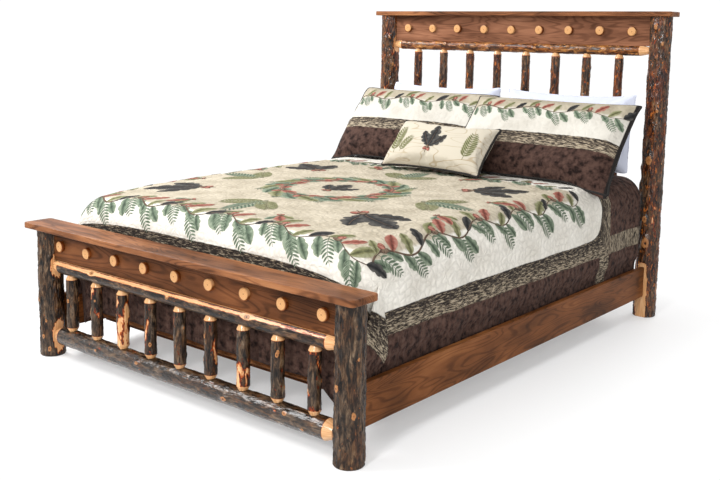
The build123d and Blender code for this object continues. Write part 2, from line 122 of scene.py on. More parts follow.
def multiplied(add, base, top, factor=1.0):
    return add("Mix", factor, base, top, data_type="RGBA", blend_type="MULTIPLY")


def newObject(name, data):
    made = bpy.data.objects.new(name, data)
    bpy.context.scene.collection.objects.link(made)
    return made


def shadeSmooth(mesh):
    mesh.polygons.foreach_set("use_smooth", [True] * len(mesh.polygons))


def placed(name, verts, faces, material, smooth=True):
    mesh = bpy.data.meshes.new(name)
    mesh.from_pydata([tuple(v) for v in verts], [], [tuple(f) for f in faces])
    mesh.update()
    mesh.materials.append(material)
    if smooth:
        shadeSmooth(mesh)
    return newObject(name, mesh)


def setAttribute(mesh, name, kind, values):
    made = mesh.attributes.new(name, kind, "POINT")
    field = "vector" if kind == "FLOAT_VECTOR" else "value"
    made.data.foreach_set(field, np.asarray(values, np.float32).ravel())


def evaluated(piece):
    # the object's mesh with its modifiers applied
    bpy.context.view_layer.update()
    graph = bpy.context.evaluated_depsgraph_get()
    mesh = bpy.data.meshes.new_from_object(piece.evaluated_get(graph))
    shadeSmooth(mesh)
    return mesh


def runTree(tree, name, inputs, place=Matrix.Identity(4)):
    # evaluates a geometry tree with these named inputs and keeps the result as a plain mesh
    carrier = newObject(name + "Carrier", bpy.data.meshes.new(name + "Carrier"))
    modifier = carrier.modifiers.new("nodes", "NODES")
    modifier.node_group = tree
    for item in tree.interface.items_tree:
        if item.item_type == "SOCKET" and item.in_out == "INPUT" and item.name in inputs:
            modifier[item.identifier] = inputs[item.name]
    mesh = evaluated(carrier)
    bpy.data.objects.remove(carrier)
    mesh.name = name
    mesh.transform(place)
    return newObject(name, mesh)


def treeWith(name, sockets):
    # a geometry tree with inputs (name, socket type, default), their sockets, and the call that adds nodes
    tree = bpy.data.node_groups.new(name, "GeometryNodeTree")
    tree.interface.new_socket("Geometry", in_out="OUTPUT", socket_type="NodeSocketGeometry")
    for label, kind, value in sockets:
        socket = tree.interface.new_socket(label, in_out="INPUT", socket_type="NodeSocket" + kind)
        if value is not None:
            socket.default_value = value
    return tree, tree.nodes.new("NodeGroupInput").outputs, partial(addNode, tree)


def endTree(tree, shape, material):
    # real geometry with its material goes out
    add = partial(addNode, tree)
    dressed = add("GeometryNodeSetMaterial", add("GeometryNodeRealizeInstances", shape), None, material)
    plug(tree.nodes.new("NodeGroupOutput").inputs[0], dressed)
    return tree


def standFor(piece, node, body=bedBody):
    # the piece rides on a body and takes a CAD node's place
    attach(piece, body)
    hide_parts(node)


footY = middle("foot_post_left").y
camera = {
    "at": Vector((2.614, footY - 2.166, 1.309)),
    "turn": 0.6715,  # radians to the left of +Y
    "tip": 0.1482,  # radians below level
    "roll": 0.0198,
    "lens": 48.6,
    "shift": (-0.0278, -0.0833),
}


def makeCamera():
    data = bpy.data.cameras.new("camera")
    data.lens = camera["lens"]
    data.sensor_width = 36
    data.shift_x, data.shift_y = camera["shift"]
    made = newObject("camera", data)
    turn = Matrix.Rotation(camera["turn"], 4, "Z")
    tip = Matrix.Rotation(math.pi / 2 - camera["tip"], 4, "X")
    roll = Matrix.Rotation(camera["roll"], 4, "Z")
    made.matrix_world = Matrix.Translation(camera["at"]) @ turn @ tip @ roll
    bpy.context.scene.camera = made
    bpy.context.scene.view_settings.view_transform = "Standard"


light = {
    "sky": 0.60,  # what the world lights the bed with
    "seen": 1.06,  # what the camera and gloss see of the world and of the floor far off
    "floorNear": 0.34,  # the floor's share of that beside the bed, past this half size, over this width
    "nearHalf": (0.85, 1.15, 0.0),
    "fade": 0.65,
    "key": {"at": (-2.6, -3.4, 4.0), "size": 2.2, "power": 190},
    "fill": {"at": (4.4, -3.6, 2.4), "size": 3.0, "power": 72},
    "back": {"at": (0.8, 4.0, 3.8), "size": 2.5, "power": 100},
    "left": {"at": (-3.4, -0.6, 3.1), "size": 1.3, "power": 150},
    "spark": {"at": (1.5, -4.6, 2.7), "size": 0.7, "power": 110},
    "aim": (0, 0, 0.5),
}


def makeLight():
    world = bpy.data.worlds.new("world")
    bpy.context.scene.world = world
    world.use_nodes = True
    add = partial(addNode, world.node_tree)
    path = add("LightPath")
    seen = add("Math add", path.outputs["Is Camera Ray"], path.outputs["Is Glossy Ray"])
    seen = add("Math add", seen, path.outputs["Is Transmission Ray"], use_clamp=True)
    background = world.node_tree.nodes["Background"].inputs
    plug(background["Strength"], add("MapRange", seen, None, None, light["sky"], light["seen"]))
    plug(background["Color"], (1, 1, 1, 1))
    for name in ("key", "fill", "back", "left", "spark"):
        facts = light[name]
        data = bpy.data.lights.new(name, "AREA")
        data.size = facts["size"]
        data.energy = facts["power"]
        made = newObject(name, data)
        made.location = facts["at"]
        made.rotation_euler = (Vector(light["aim"]) - made.location).to_track_quat("-Z", "Y").to_euler()


def makeFloor():
    # white studio floor: it glows to plain white away from the bed and keeps the bed's shadow near it
    material, add = newMaterial("studioPaint", Roughness=0.9, Base_Color=colour("#f4f4f4"))
    far = add("NewGeometry").outputs["Position"]
    beyond = (("absolute", None), ("subtract", light["nearHalf"]), ("maximum", (0, 0, 0)), ("length", None))
    for operation, other in beyond:
        far = add("VectorMath " + operation, far, other)
    glowing = add("MapRange", far, 0.0, light["fade"], light["floorNear"], 1.0, interpolation_type="SMOOTHSTEP")
    path = add("LightPath")
    seen = add("Math add", path.outputs["Is Camera Ray"], path.outputs["Is Glossy Ray"])
    share = add("Math multiply", seen, glowing, use_clamp=True)
    glow = add("Emission", (1, 1, 1, 1), light["seen"])
    shaders = material.node_tree.nodes
    mixed = add("MixShader", share, shaders["Principled BSDF"], glow)
    plug(shaders["Material Output"].inputs["Surface"], mixed)
    half = 40
    corners = [(-half, -half, 0), (half, -half, 0), (half, half, 0), (-half, half, 0)]
    placed("floor", corners, [(0, 1, 2, 3)], material, False)


makeCamera()
makeLight()
makeFloor()
print("camera, light and floor are in place")


def barkMaterial(name, tone):
    # hickory bark under clear lacquer: dark fissured plates with pale crowns, painted shade deepening the
    # fissures and a painted highlight on the crowns;
    # amber inner bark shows at flakes, and pale wood with a red-brown rim where the bark is shaved or worn off
    material, add = newMaterial(name, Roughness=0.45, Coat_Weight=tone["coat"], Coat_Roughness=0.12)
    grain = add("Attribute", attribute_name="grain").outputs["Vector"]
    peel = add("Attribute", attribute_name="peel").outputs["Fac"]
    knot = add("Attribute", attribute_name="knot").outputs["Fac"]

    def noise(across, along, detail, distortion=0.0, shift=0.0):
        # patches of this size in metres, across the log and along it
        scaled = add("Mapping", grain, (shift, shift, shift), None, (1 / across, 1 / across, 1 / along))
        return add("TexNoise", scaled, 1.0, detail, 0.66, None, distortion)

    plate = noise(0.013, 0.050, 6.0, 0.7)
    patch = noise(0.060, 0.150, 3.0)
    # the plate ramp runs from near-black fissures to pale crowns along the same noise that raises the bump:
    # bark colour with painted shade low down and a painted highlight high up
    base = ramp(add, plate, zip((0.37, 0.46, 0.54, 0.63, 0.76), tone["plates"]))
    tint = ramp(add, patch, [(0.32, "#a39b94"), (0.46, "#ffffff"), (0.56, tone["tint"]), (0.68, tone["stain"])])
    bark = multiplied(add, base, tint, 0.85)
    flake, level = noise(0.010, 0.024, 4.0, 0.4, 3.7), tone["flakes"]
    flake = add("MapRange", flake, level, level + 0.05, 0.0, 0.85)
    flaked = layered(add, bark, colour(tone["flake"]), flake)
    # pale wood under the bark, with its red-brown rim
    wood = ramp(add, noise(0.004, 0.090, 3.0), [(0.3, "#b27e4e"), (0.5, "#cb9a6a"), (0.7, "#dfb58a")])
    rim = ramp(add, peel, [(0.10, "#3e1d0d"), (0.38, "#8a4419"), (0.68, "#cf8646"), (0.92, "#ffffff")])
    mixed = layered(add, flaked, multiplied(add, wood, rim), add("MapRange", peel, 0.10, 0.20))
    # knots: ragged amber rings round a dark eye
    ringsPerKnot = 30.0  # radians from its rim to its eye
    ragged = add("Math subtract", noise(0.006, 0.008, 2.0), 0.5)
    ragged = add("Math multiply_add", ragged, 0.55, knot)
    rings = add("Math sine", add("Math multiply", ragged, ringsPerKnot))
    ringTone = add("Math multiply_add", rings, 0.06, ragged)
    knotColour = ramp(add, ringTone, [
        (0.34, "#22130a"), (0.44, "#64371a"), (0.60, "#b27e4c"), (0.78, "#8a5630"), (0.92, "#1e110a")])
    final = layered(add, mixed, knotColour, add("MapRange", ragged, 0.36, 0.44))
    # rough bark, smooth wood
    smoothness = add("MapRange", peel, 0.1, 0.5, 1.0, 0.10)
    crumbs = add("Math multiply_add", noise(0.0035, 0.010, 3.0), 0.35, plate)
    height = add("Math multiply", crumbs, smoothness)
    bump = add("Bump", 0.8, 0.004, None, height)
    lacquer = add("Bump", 0.35, 0.003, None, height)
    return surfaced(material, Base_Color=final, Normal=bump, Coat_Normal=lacquer)


# plates from fissure to crown, the bark's own tones with painted shade in the fissures and a painted highlight
# on the crowns, a slow tint and stain over them, flakes of inner bark past a level, and lacquer
greyBark = {"plates": ("#0a0705", "#261c14", "#463628", "#66523f", "#8e7f6a"), "tint": "#e8c8a0",
            "stain": "#cf9560", "flakes": 0.650, "flake": "#93501f", "coat": 0.5}
brownBark = {"plates": ("#0b0704", "#2c1c11", "#523822", "#735338", "#97805f"), "tint": "#f4a862",
             "stain": "#ea8c3e", "flakes": 0.590, "flake": "#b0601f", "coat": 0.6}
amberBark = {"plates": ("#22140a", "#4f2f17", "#85552a", "#a9753d", "#c2935a"), "tint": "#e0c0a0",
             "stain": "#b98a60", "flakes": 0.60, "flake": "#c98a48", "coat": 0.6}
wetBark = dict(greyBark, coat=1.0)


def walnutMaterial(name, along, tone):
    # oiled walnut plank: cathedral figure of dark growth lines, slow clouds and fine pores along the grain
    material, add = newMaterial(name, Roughness=0.42, Coat_Weight=0.04, Coat_Roughness=0.3)
    place = add("TexCoord").outputs["Object"]

    def noise(across, length, detail, shift=0.0, distortion=0.0):
        scale = [1 / across] * 3
        scale["xyz".index(along)] = 1 / length
        scaled = add("Mapping", place, (shift, shift * 0.7, shift * 0.3), None, scale)
        return add("TexNoise", scaled, 1.0, detail, 0.55, None, distortion)

    figure = noise(0.085, 0.62, 1.5, tone["shift"], 0.5)
    growthLines = 95.0  # radians of line over the figure's whole rise
    lines = add("Math sine", add("Math multiply", figure, growthLines))
    drawn = add("MapRange", lines, 0.1, 1.0, 0.0, -0.13)
    cloud = noise(0.10, 0.42, 3.0, tone["shift"] + 5)
    pore = noise(0.0022, 0.030, 2.0)
    shade = add("Math multiply_add", pore, 0.14, cloud)
    shade = add("Math add", shade, drawn)
    tones = [tone[name] for name in ("dark", "mid", "main", "light")]
    wood = ramp(add, shade, zip((0.32, 0.48, 0.62, 0.80), tones))
    bump = add("Bump", 0.25, 0.0006, None, pore)
    return surfaced(material, Base_Color=wood, Normal=bump)


capTone = {"dark": "#412617", "mid": "#664029", "main": "#865738", "light": "#a0704a", "shift": 0.3}
panelTone = {"dark": "#321c0e", "mid": "#4d2d18", "main": "#653c22", "light": "#7e4f2e", "shift": 4.1}
headPanelTone = {"dark": "#432819", "mid": "#613e2c", "main": "#7b523c", "light": "#94674e", "shift": 7.3}
railTone = {"dark": "#3e220c", "mid": "#5a3418", "main": "#714322", "light": "#8c5a33", "shift": 1.9}
barks = {
    "grey": barkMaterial("greyHickoryBark", greyBark), "brown": barkMaterial("brownHickoryBark", brownBark),
    "amber": barkMaterial("amberInnerBark", amberBark), "wet": barkMaterial("lacqueredHickoryBark", wetBark),
}
walnutCap = walnutMaterial("walnutCap", "x", capTone)
walnutPanel = walnutMaterial("walnutPanel", "x", panelTone)
walnutHeadPanel = walnutMaterial("walnutHeadPanel", "x", headPanelTone)
walnutRail = walnutMaterial("walnutRail", "y", railTone)


def plainWood(name, code, dark, along):
    # planed softwood: straight fine grain
    material, add = newMaterial(name, Roughness=0.55)
    place = add("TexCoord").outputs["Object"]
    stretch = [1 / 0.006] * 3
    stretch["xyz".index(along)] = 1 / 0.25
    grainMap = add("Mapping", place, None, None, stretch)
    grain = add("TexNoise", grainMap, 1.0, 4.0, 0.6)
    wood = ramp(add, grain, [(0.35, dark), (0.65, code)])
    bump = add("Bump", 0.2, 0.0005, None, grain)
    return surfaced(material, Base_Color=wood, Normal=bump)


def zincMaterial():
    # zinc-plated pressed steel: dull grey with faint cloudy spangle
    material, add = newMaterial("zincPlatedSteel", Metallic=1.0, Roughness=0.42)
    place = add("TexCoord").outputs["Object"]
    spangle = add("TexNoise", place, 90.0, 3.0)
    tone = ramp(add, spangle, [(0.35, "#8f9091"), (0.65, "#b4b5b6")])
    return surfaced(material, Base_Color=tone)


def dress(material, *names):
    for name in names:
        mesh = nodes[name].data
        mesh.materials.clear()
        mesh.materials.append(material)


beamWood = plainWood("stainedPine", "#7a4a28", "#552f17", "x")
cleatWood = plainWood("stainedPineCleat", "#7a4a28", "#552f17", "y")
dowelWood = plainWood("birchDowel", "#d8b07c", "#bb8d58", "z")
zinc = zincMaterial()
dress(walnutCap, "foot_cap", "head_cap")
dress(walnutPanel, "foot_panel")
dress(walnutHeadPanel, "head_panel")
dress(walnutRail, "side_rail_left", "side_rail_right")
dress(beamWood, "cross_beam_foot", "cross_beam_middle", "cross_beam_head", "slats")
dress(cleatWood, "rail_cleat_left", "rail_cleat_right")
dress(dowelWood, "foot_cap_dowels", "head_cap_dowels", "centre_leg")
dress(zinc, "hook_plates", "slotted_plates", "hook_plate_screws", "slotted_plate_screws", "cleat_screws")
print("planks, slats and irons have their finishes")


knotSquash = 0.62  # knots are measured in a log pressed to this length, so that they come out longer than wide


def buildLogTree(facetCount=3):
    # an upright log from z = 0, with bark ridges, lumps, worn patches, knots at given points, coned ends and
    # planed facets; it stores what the bark material reads
    sockets = [
        ("Length", "Float", 1.0), ("Butt Radius", "Float", 0.05), ("Tip Radius", "Float", 0.05),
        ("Tenon Radius", "Float", 0.02), ("Cone Length", "Float", 0.03), ("Ridge Depth", "Float", 0.002),
        ("Ridge Width", "Float", 0.009), ("Ridge Length", "Float", 0.06), ("Lumps", "Float", 0.002),
        ("Wear", "Float", 0.5), ("Bend", "Float", 0.002), ("Seed", "Float", 0.0), ("Around", "Int", 64),
        ("Rings", "Int", 200), ("Knots", "Object", None), ("Peeled Ends", "Float", 1.0),
        ("Bark", "Material", None),
    ]
    for i in range(facetCount):
        sockets += [(f"Facet {i} Way", "Vector", (1, 0, 0)), (f"Facet {i} Depth At", "Float", 1.0)]
        sockets += [(f"Facet {i} {name}", "Float", 0.0) for name in ("Middle", "Half", "Curve")]
    tree, g, add = treeWith("log", sockets)
    tube = add("GeometryNodeMeshCylinder", g["Around"], g["Rings"], None, 1.0, 1.0, fill_type="TRIANGLE_FAN")
    place = add("SeparateXYZ", add("GeometryNodeInputPosition"))
    t = add("Math add", place.outputs[2], 0.5)
    along = add("Math multiply", t, g["Length"])
    full = add("Mix", t, g["Butt Radius"], g["Tip Radius"])
    rest = add("Math subtract", g["Length"], along)
    fromEnd = add("Math minimum", along, rest)
    cone = add("MapRange", fromEnd, 0.0, g["Cone Length"], g["Tenon Radius"], full)
    pastCone = add("Math add", g["Cone Length"], 0.002)
    onBody = add("MapRange", fromEnd, g["Cone Length"], pastCone, 0.0, 1.0)
    flatPlace = add("CombineXYZ", *[add("Math multiply", place.outputs[i], full) for i in (0, 1)], along)
    offset = add("Math multiply", g["Seed"], 7.31)
    grain = add("VectorMath add", flatPlace, offset)
    # bark ridges
    across = add("Math divide", 1.0, g["Ridge Width"])
    down = add("Math divide", 1.0, g["Ridge Length"])
    ridgeScale = add("CombineXYZ", across, across, down)
    ridgePlace = add("VectorMath multiply", grain, ridgeScale)
    ridgeNoise = add("TexNoise", ridgePlace, 1.0, 3.0, 0.6, None, 0.6)
    folded = add("Math subtract", ridgeNoise, 0.5)
    folded = add("Math absolute", folded)
    ridge = add("MapRange", folded, 0.0, 0.16, -1.0, 0.25, interpolation_type="SMOOTHSTEP")
    # slow lumps
    lumpNoise = add("TexNoise", grain, 11.0, 2.0, 0.5)
    lump = add("Math subtract", lumpNoise, 0.5)
    for factor in (g["Lumps"], 4.0):
        lump = add("Math multiply", lump, factor)
    # worn patches that show pale wood
    wearPlace = add("VectorMath multiply", grain, (28.0, 28.0, 11.0))
    wearNoise = add("TexNoise", wearPlace, 1.0, 4.0, 0.6, None, 0.4)
    wearFrom = add("Math subtract", 0.76, add("Math multiply", g["Wear"], 0.24))
    wearTo = add("Math add", wearFrom, 0.07)
    worn = add("MapRange", wearNoise, wearFrom, wearTo)
    wornDepth = -0.0012
    # knots
    eyes = add("GeometryNodeObjectInfo", g["Knots"])
    knotPlace = add("VectorMath multiply", flatPlace, (1.0, 1.0, knotSquash))
    near = add("GeometryNodeProximity", eyes.outputs["Geometry"], None, knotPlace, target_element="POINTS")
    which = add("GeometryNodeSampleNearest", eyes.outputs["Geometry"], knotPlace)
    sizes = add("GeometryNodeInputNamedAttribute", "size", data_type="FLOAT")
    knotSize = add("GeometryNodeSampleIndex", eyes.outputs["Geometry"], sizes, which, data_type="FLOAT")
    knot = add("MapRange", near.outputs["Distance"], knotSize, 0.0)
    wide = add("Math multiply", knotSize, 1.7)
    swell = add("MapRange", near.outputs["Distance"], wide, 0.0, interpolation_type="SMOOTHERSTEP")
    eye = add("MapRange", knot, 0.70, 1.0, 0.0, -0.35)
    swell = add("Math add", swell, eye)
    for factor in (knotSize, 0.32):
        swell = add("Math multiply", swell, factor)
    noKnot = add("MapRange", knot, 0.0, 0.4, 1.0, 0.0)
    # radius
    bare = add("Math subtract", 1.0, worn)
    for factor in (bare, noKnot, g["Ridge Depth"]):
        ridge = add("Math multiply", ridge, factor)
    radius = cone
    for part in (ridge, lump, swell, add("Math multiply", worn, wornDepth)):
        radius = add("Math add", radius, add("Math multiply", part, onBody))
    point = add("CombineXYZ", *[add("Math multiply", place.outputs[i], radius) for i in (0, 1)], along)
    # the coned ends and worn patches are peeled
    coned = add("Math subtract", 1.0, onBody)
    coned = add("Math multiply", coned, g["Peeled Ends"])
    peel = add("Math maximum", coned, worn)
    # a gentle bend, none at the ends
    swing = add("Math multiply", add("Math sine", add("Math multiply", t, math.pi)), g["Bend"])
    bendWay = add("CombineXYZ", add("Math cosine", g["Seed"]), add("Math sine", g["Seed"]), 0.0)
    bend = add("VectorMath scale", bendWay, swing)
    point = add("VectorMath add", point, bend)
    # planed facets
    for i in range(facetCount):
        way = g[f"Facet {i} Way"]
        reach = add("VectorMath dot_product", point, way)
        spot, half = g[f"Facet {i} Middle"], g[f"Facet {i} Half"]
        off = along
        for operation, other in (("subtract", spot), ("absolute", None), ("subtract", half), ("maximum", 0.0)):
            off = add("Math " + operation, off, other)
        off = add("Math multiply", off, off)
        level = add("Math multiply_add", off, g[f"Facet {i} Curve"], g[f"Facet {i} Depth At"])
        over = add("Math subtract", reach, level)
        over = add("Math maximum", over, 0.0)
        back = add("VectorMath scale", way, over)
        point = add("VectorMath subtract", point, back)
        shaved = add("MapRange", over, 0.0001, 0.0008)
        peel = add("Math maximum", peel, shaved)
    for name, value in (("grain", grain), ("peel", peel), ("knot", knot)):
        kind = "FLOAT_VECTOR" if name == "grain" else "FLOAT"
        tube = add("GeometryNodeStoreNamedAttribute", tube, None, name, value, data_type=kind)
    return endTree(tree, add("GeometryNodeSetPosition", tube, None, point), g["Bark"])


logTree = buildLogTree()
axisTurn = {"z": Matrix.Identity(4), "x": Matrix.Rotation(math.pi / 2, 4, "Y")}


def polar(radius, turn, centre=(0.0, 0.0)):
    return centre[0] + radius * math.cos(turn), centre[1] + radius * math.sin(turn)


def knotPoints(name, points, sizes):
    mesh = bpy.data.meshes.new(name)
    mesh.from_pydata(points, [], [])
    setAttribute(mesh, "size", "FLOAT", sizes)
    return newObject(name, mesh)


def makeLog(node, axis, start, sizes, seed, tone, knots):
    # a log in place of a CAD node; knots are (angle in degrees, distance along, radius), in metres
    where = []
    for angle, distance, _ in knots:
        x, y = polar(sizes["Butt Radius"], math.radians(angle))
        where.append((x, y, distance * knotSquash))
    eyes = knotPoints(node + "Eyes", where, [size for _, _, size in knots])
    inputs = dict(sizes, Seed=float(seed), Knots=eyes, Bark=barks[tone])
    log = runTree(logTree, "log_" + node, inputs, Matrix.Translation(start) @ axisTurn[axis])
    bpy.data.objects.remove(eyes)
    standFor(log, node)


post = {
    "ridgeDepth": 0.0026, "ridgeWidth": 0.0095, "ridgeLength": 0.055, "lumps": 0.0016,
    "facetDepth": 0.009, "facetOver": {"lower": 0.038, "upper": 0.026},  # shaved round a rail's shoulder
    "flatDepth": 0.008, "flatOver": 0.009,  # and behind a side rail
    "chamfer": 0.003, "slim": {"foot": 0.0025, "head": 0.0010}, "taper": {"foot": 0.002, "head": 0.004},
    "wear": {"foot": 0.28, "head": 0.62}, "smallKnots": {"foot": 2, "head": 6},
    "bark": {"foot": "grey", "head": "brown"},
}


def randomKnots(seed, count, low, high):
    source = np.random.default_rng(seed)
    ranges = ((0, 360), (low, high), (0.006, 0.011))  # angle, distance along, radius
    return [tuple(float(source.uniform(*span)) for span in ranges) for _ in range(count)]


def makePost(end, hand, seed, knots):
    node = f"{end}_post_{hand}"
    lo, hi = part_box(node)
    side = 1 if hand == "right" else -1
    toRail = 1 if end == "foot" else -1
    butt = (hi.x - lo.x) / 2
    body = butt - post["slim"][end]
    tip = body - post["taper"][end]
    centreX = middle(node).x
    centreY = lo.y + butt if end == "foot" else hi.y - butt
    height = hi.z
    sizes = {
        "Length": height, "Butt Radius": body, "Tip Radius": tip, "Tenon Radius": body - post["chamfer"],
        "Cone Length": post["chamfer"], "Ridge Depth": post["ridgeDepth"], "Ridge Width": post["ridgeWidth"],
        "Ridge Length": post["ridgeLength"], "Lumps": post["lumps"], "Wear": post["wear"][end], "Bend": 0.0,
        "Around": 120, "Rings": int(height / 0.0034), "Peeled Ends": 0.0,
    }
    for i, level in enumerate(("lower", "upper")):
        railLo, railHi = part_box(f"{end}_{level}_rail")
        half = (railHi.y - railLo.y) / 2 + post["facetOver"][level]
        z = railLo.z + (railHi.y - railLo.y) / 2
        scoop = (half ** 2 + post["facetDepth"] ** 2) / (2 * post["facetDepth"])
        local = body + (tip - body) * z / height
        sizes[f"Facet {i} Way"] = (-side, 0.0, 0.0)
        sizes[f"Facet {i} Depth At"] = local - post["facetDepth"]
        sizes[f"Facet {i} Middle"] = z
        sizes[f"Facet {i} Curve"] = 1 / (2 * scoop)
    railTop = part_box("side_rail_left")[1].z + post["flatOver"]
    sizes["Facet 2 Way"] = (0.0, float(toRail), 0.0)
    sizes["Facet 2 Depth At"] = body - post["flatDepth"]
    sizes["Facet 2 Middle"] = railTop / 2
    sizes["Facet 2 Half"] = railTop / 2
    sizes["Facet 2 Curve"] = 30.0
    knots = knots + randomKnots(seed + 60, post["smallKnots"][end], 0.05, height - 0.05)
    makeLog(node, "z", (centreX, centreY, 0), sizes, seed, post["bark"][end], knots)


# the large knots: angle in degrees, height and radius in metres
postKnots = {
    "foot_left": [(313, 0.034, 0.012), (300, 0.150, 0.008), (285, 0.085, 0.010)],
    "foot_right": [(324, 0.174, 0.013), (258, 0.255, 0.015), (340, 0.350, 0.007), (230, 0.100, 0.012)],
    "head_left": [(300, 1.300, 0.011), (325, 1.150, 0.013), (280, 0.900, 0.016)],
    "head_right": [(266, 1.370, 0.015), (303, 1.295, 0.013), (298, 0.985, 0.011), (272, 0.755, 0.024),
                   (268, 0.475, 0.018), (279, 0.362, 0.027), (200, 0.620, 0.020)],
}
for seed, (name, knots) in enumerate(postKnots.items(), 1):
    end, hand = name.split("_")
    makePost(end, hand, seed, knots)
print("posts are turned")


rail = {
    "coneShare": {"foot_lower": 1.15, "foot_upper": 1.5, "head_lower": 1.2, "head_upper": 2.0},  # of its radius
    "tenonShare": 0.52, "inset": 0.039,  # how far the bark starts inside the tenon's end
    "ridgeDepth": 0.0011, "ridgeWidth": 0.006, "ridgeLength": 0.05, "lumps": 0.0016,
    "planedRidge": 0.0004, "planedLumps": 0.0003, "stripDepth": 0.0024,
}
# towards the foot and up, for a lying log
shaveWay = (-math.sin(math.radians(35)), -math.cos(math.radians(35)), 0.0)


def makeRail(end, level, seed, wear, tone, knots):
    planed = (end, level) == ("foot", "upper")  # this one has a pale planed strip along its upper front
    node = f"{end}_{level}_rail"
    lo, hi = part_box(node)
    radius = (hi.y - lo.y) / 2
    z = lo.z + radius
    cone = rail["coneShare"][f"{end}_{level}"] * radius
    span = hi.x - lo.x - 2 * rail["inset"]
    sizes = {
        "Length": span, "Butt Radius": radius - 0.0005, "Tip Radius": radius - 0.0015,
        "Tenon Radius": rail["tenonShare"] * radius, "Cone Length": cone,
        "Ridge Depth": rail["planedRidge"] if planed else rail["ridgeDepth"], "Ridge Width": rail["ridgeWidth"],
        "Ridge Length": rail["ridgeLength"], "Lumps": rail["planedLumps"] if planed else rail["lumps"],
        "Wear": wear, "Bend": 0.0, "Around": 88, "Rings": 420,
    }
    # an upper rail is planed level under its cap; a depth of 1 m leaves a log round
    for i, (way, depth) in enumerate((((-1.0, 0.0, 0.0), hi.z - z if level == "upper" else 1.0),
                                      (shaveWay, radius - rail["stripDepth"] if planed else 1.0))):
        sizes.update({f"Facet {i} Way": way, f"Facet {i} Depth At": depth,
                      f"Facet {i} Middle": span / 2, f"Facet {i} Half": span})
    makeLog(node, "x", (lo.x + rail["inset"], middle(node).y, z), sizes, seed, tone, knots)


# on a lying log, 0 degrees is the underside, 270 the side towards the foot
makeRail("foot", "lower", 11, 0.42, "wet", [
    (250, 0.55, 0.010), (275, 1.02, 0.014), (240, 1.30, 0.012), (290, 1.38, 0.009), (262, 0.30, 0.008)])
makeRail("foot", "upper", 12, 0.05, "grey", [(238, 0.27, 0.012), (241, 1.12, 0.014), (265, 0.72, 0.008)])
makeRail("head", "lower", 13, 0.30, "brown", [(90, 0.4, 0.010), (80, 1.1, 0.010)])
makeRail("head", "upper", 14, 0.35, "amber", [
    (270, 0.90, 0.011), (250, 0.35, 0.012), (285, 0.62, 0.009), (262, 1.28, 0.013), (240, 1.08, 0.009)])


spindle = {
    "wear": {"foot": (0.45, 0.80, 1.30, 0.85, 0.60, 0.78, 0.95, 0.80, 0.92),
             "head": (0.45, 0.50, 0.60, 0.40, 0.45, 0.50, 0.48, 0.62)},
    "inset": 0.014, "proud": (0.0008, 0.0022), "taper": 0.001, "tenon": 0.013, "cone": 0.020, "around": 52,
}


def makeSpindles(end, rings, firstSeed):
    for name in sorted(n for n in nodes if n.startswith(f"{end}_spindle_")):
        number = int(name.split("_")[-1])
        seed = firstSeed + number
        source = np.random.default_rng(seed)
        lo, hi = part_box(name)
        radius = (hi.x - lo.x) / 2
        length = hi.z - lo.z - 2 * spindle["inset"]
        body = radius + float(source.uniform(*spindle["proud"]))
        sizes = {
            "Length": length, "Butt Radius": body, "Tip Radius": body - spindle["taper"],
            "Tenon Radius": spindle["tenon"], "Cone Length": spindle["cone"], "Ridge Depth": 0.0009,
            "Ridge Width": 0.005, "Ridge Length": 0.035, "Lumps": 0.0015, "Bend": 0.0012,
            "Wear": spindle["wear"][end][number - 1], "Around": spindle["around"], "Rings": rings,
        }
        start = (middle(name).x, middle(name).y, lo.z + spindle["inset"])
        makeLog(name, "z", start, sizes, seed, post["bark"][end], randomKnots(seed, 3, 0.05, length - 0.05))


makeSpindles("foot", 84, 20)
makeSpindles("head", 220, 40)
print("rails and spindles are turned")


def sliceMaterial():
    # end-grain slice: pale rings round an off-centre pith, darker towards the rim and on the sawn side
    material, add = newMaterial("sawnHickory", Roughness=0.4, Coat_Weight=0.25, Coat_Roughness=0.25)
    spot = add("Attribute", attribute_name="ring").outputs["Vector"]
    shift = add("VectorMath add", spot, (0.002, 0.0, -0.0015))
    wobble = add("TexNoise", shift, 60.0, 2.0)
    flatSpot = add("VectorMath multiply", shift, (1.0, 0.0, 1.0))
    away = add("VectorMath length", flatSpot)
    bent = add("Math multiply_add", wobble, 0.004, away)
    ringWidth = 0.0034  # coarser than the wood's own year rings, so that they show
    rings = add("Math multiply", bent, 2 * math.pi / ringWidth)
    rings = add("Math sine", rings)
    tone = add("MapRange", rings, -1.0, 1.0)
    wood = ramp(add, tone, [(0.0, "#9c6a3b"), (0.40, "#c4915c"), (1.0, "#d3a474")])
    rim = ramp(add, add("MapRange", away, 0.0, 0.024), [
        (0.04, "#5a3014"), (0.11, "#ffffff"), (0.76, "#ffffff"), (0.90, "#8f684a")])
    return surfaced(material, Base_Color=multiplied(add, wood, rim))


def lathe(name, outline, around, material):
    # closed solid of revolution about -Y from (radius, distance) points, open ends closed by fans
    verts, faces = [], []
    for radius, distance in outline:
        for k in range(around):
            x, z = polar(radius, 2 * math.pi * k / around)
            verts.append((x, -distance, z))
    for i in range(len(outline) - 1):
        for k in range(around):
            a, b = i * around + k, i * around + (k + 1) % around
            faces.append((a, b, b + around, a + around))
    for i, flip in ((0, False), (len(outline) - 1, True)):
        verts.append((0, -outline[i][1], 0))
        for k in range(around):
            a, b = i * around + k, i * around + (k + 1) % around
            faces.append((a, b, len(verts) - 1) if flip else (b, a, len(verts) - 1))
    made = placed(name, verts, faces, material)
    setAttribute(made.data, "ring", "FLOAT_VECTOR", verts)
    return made


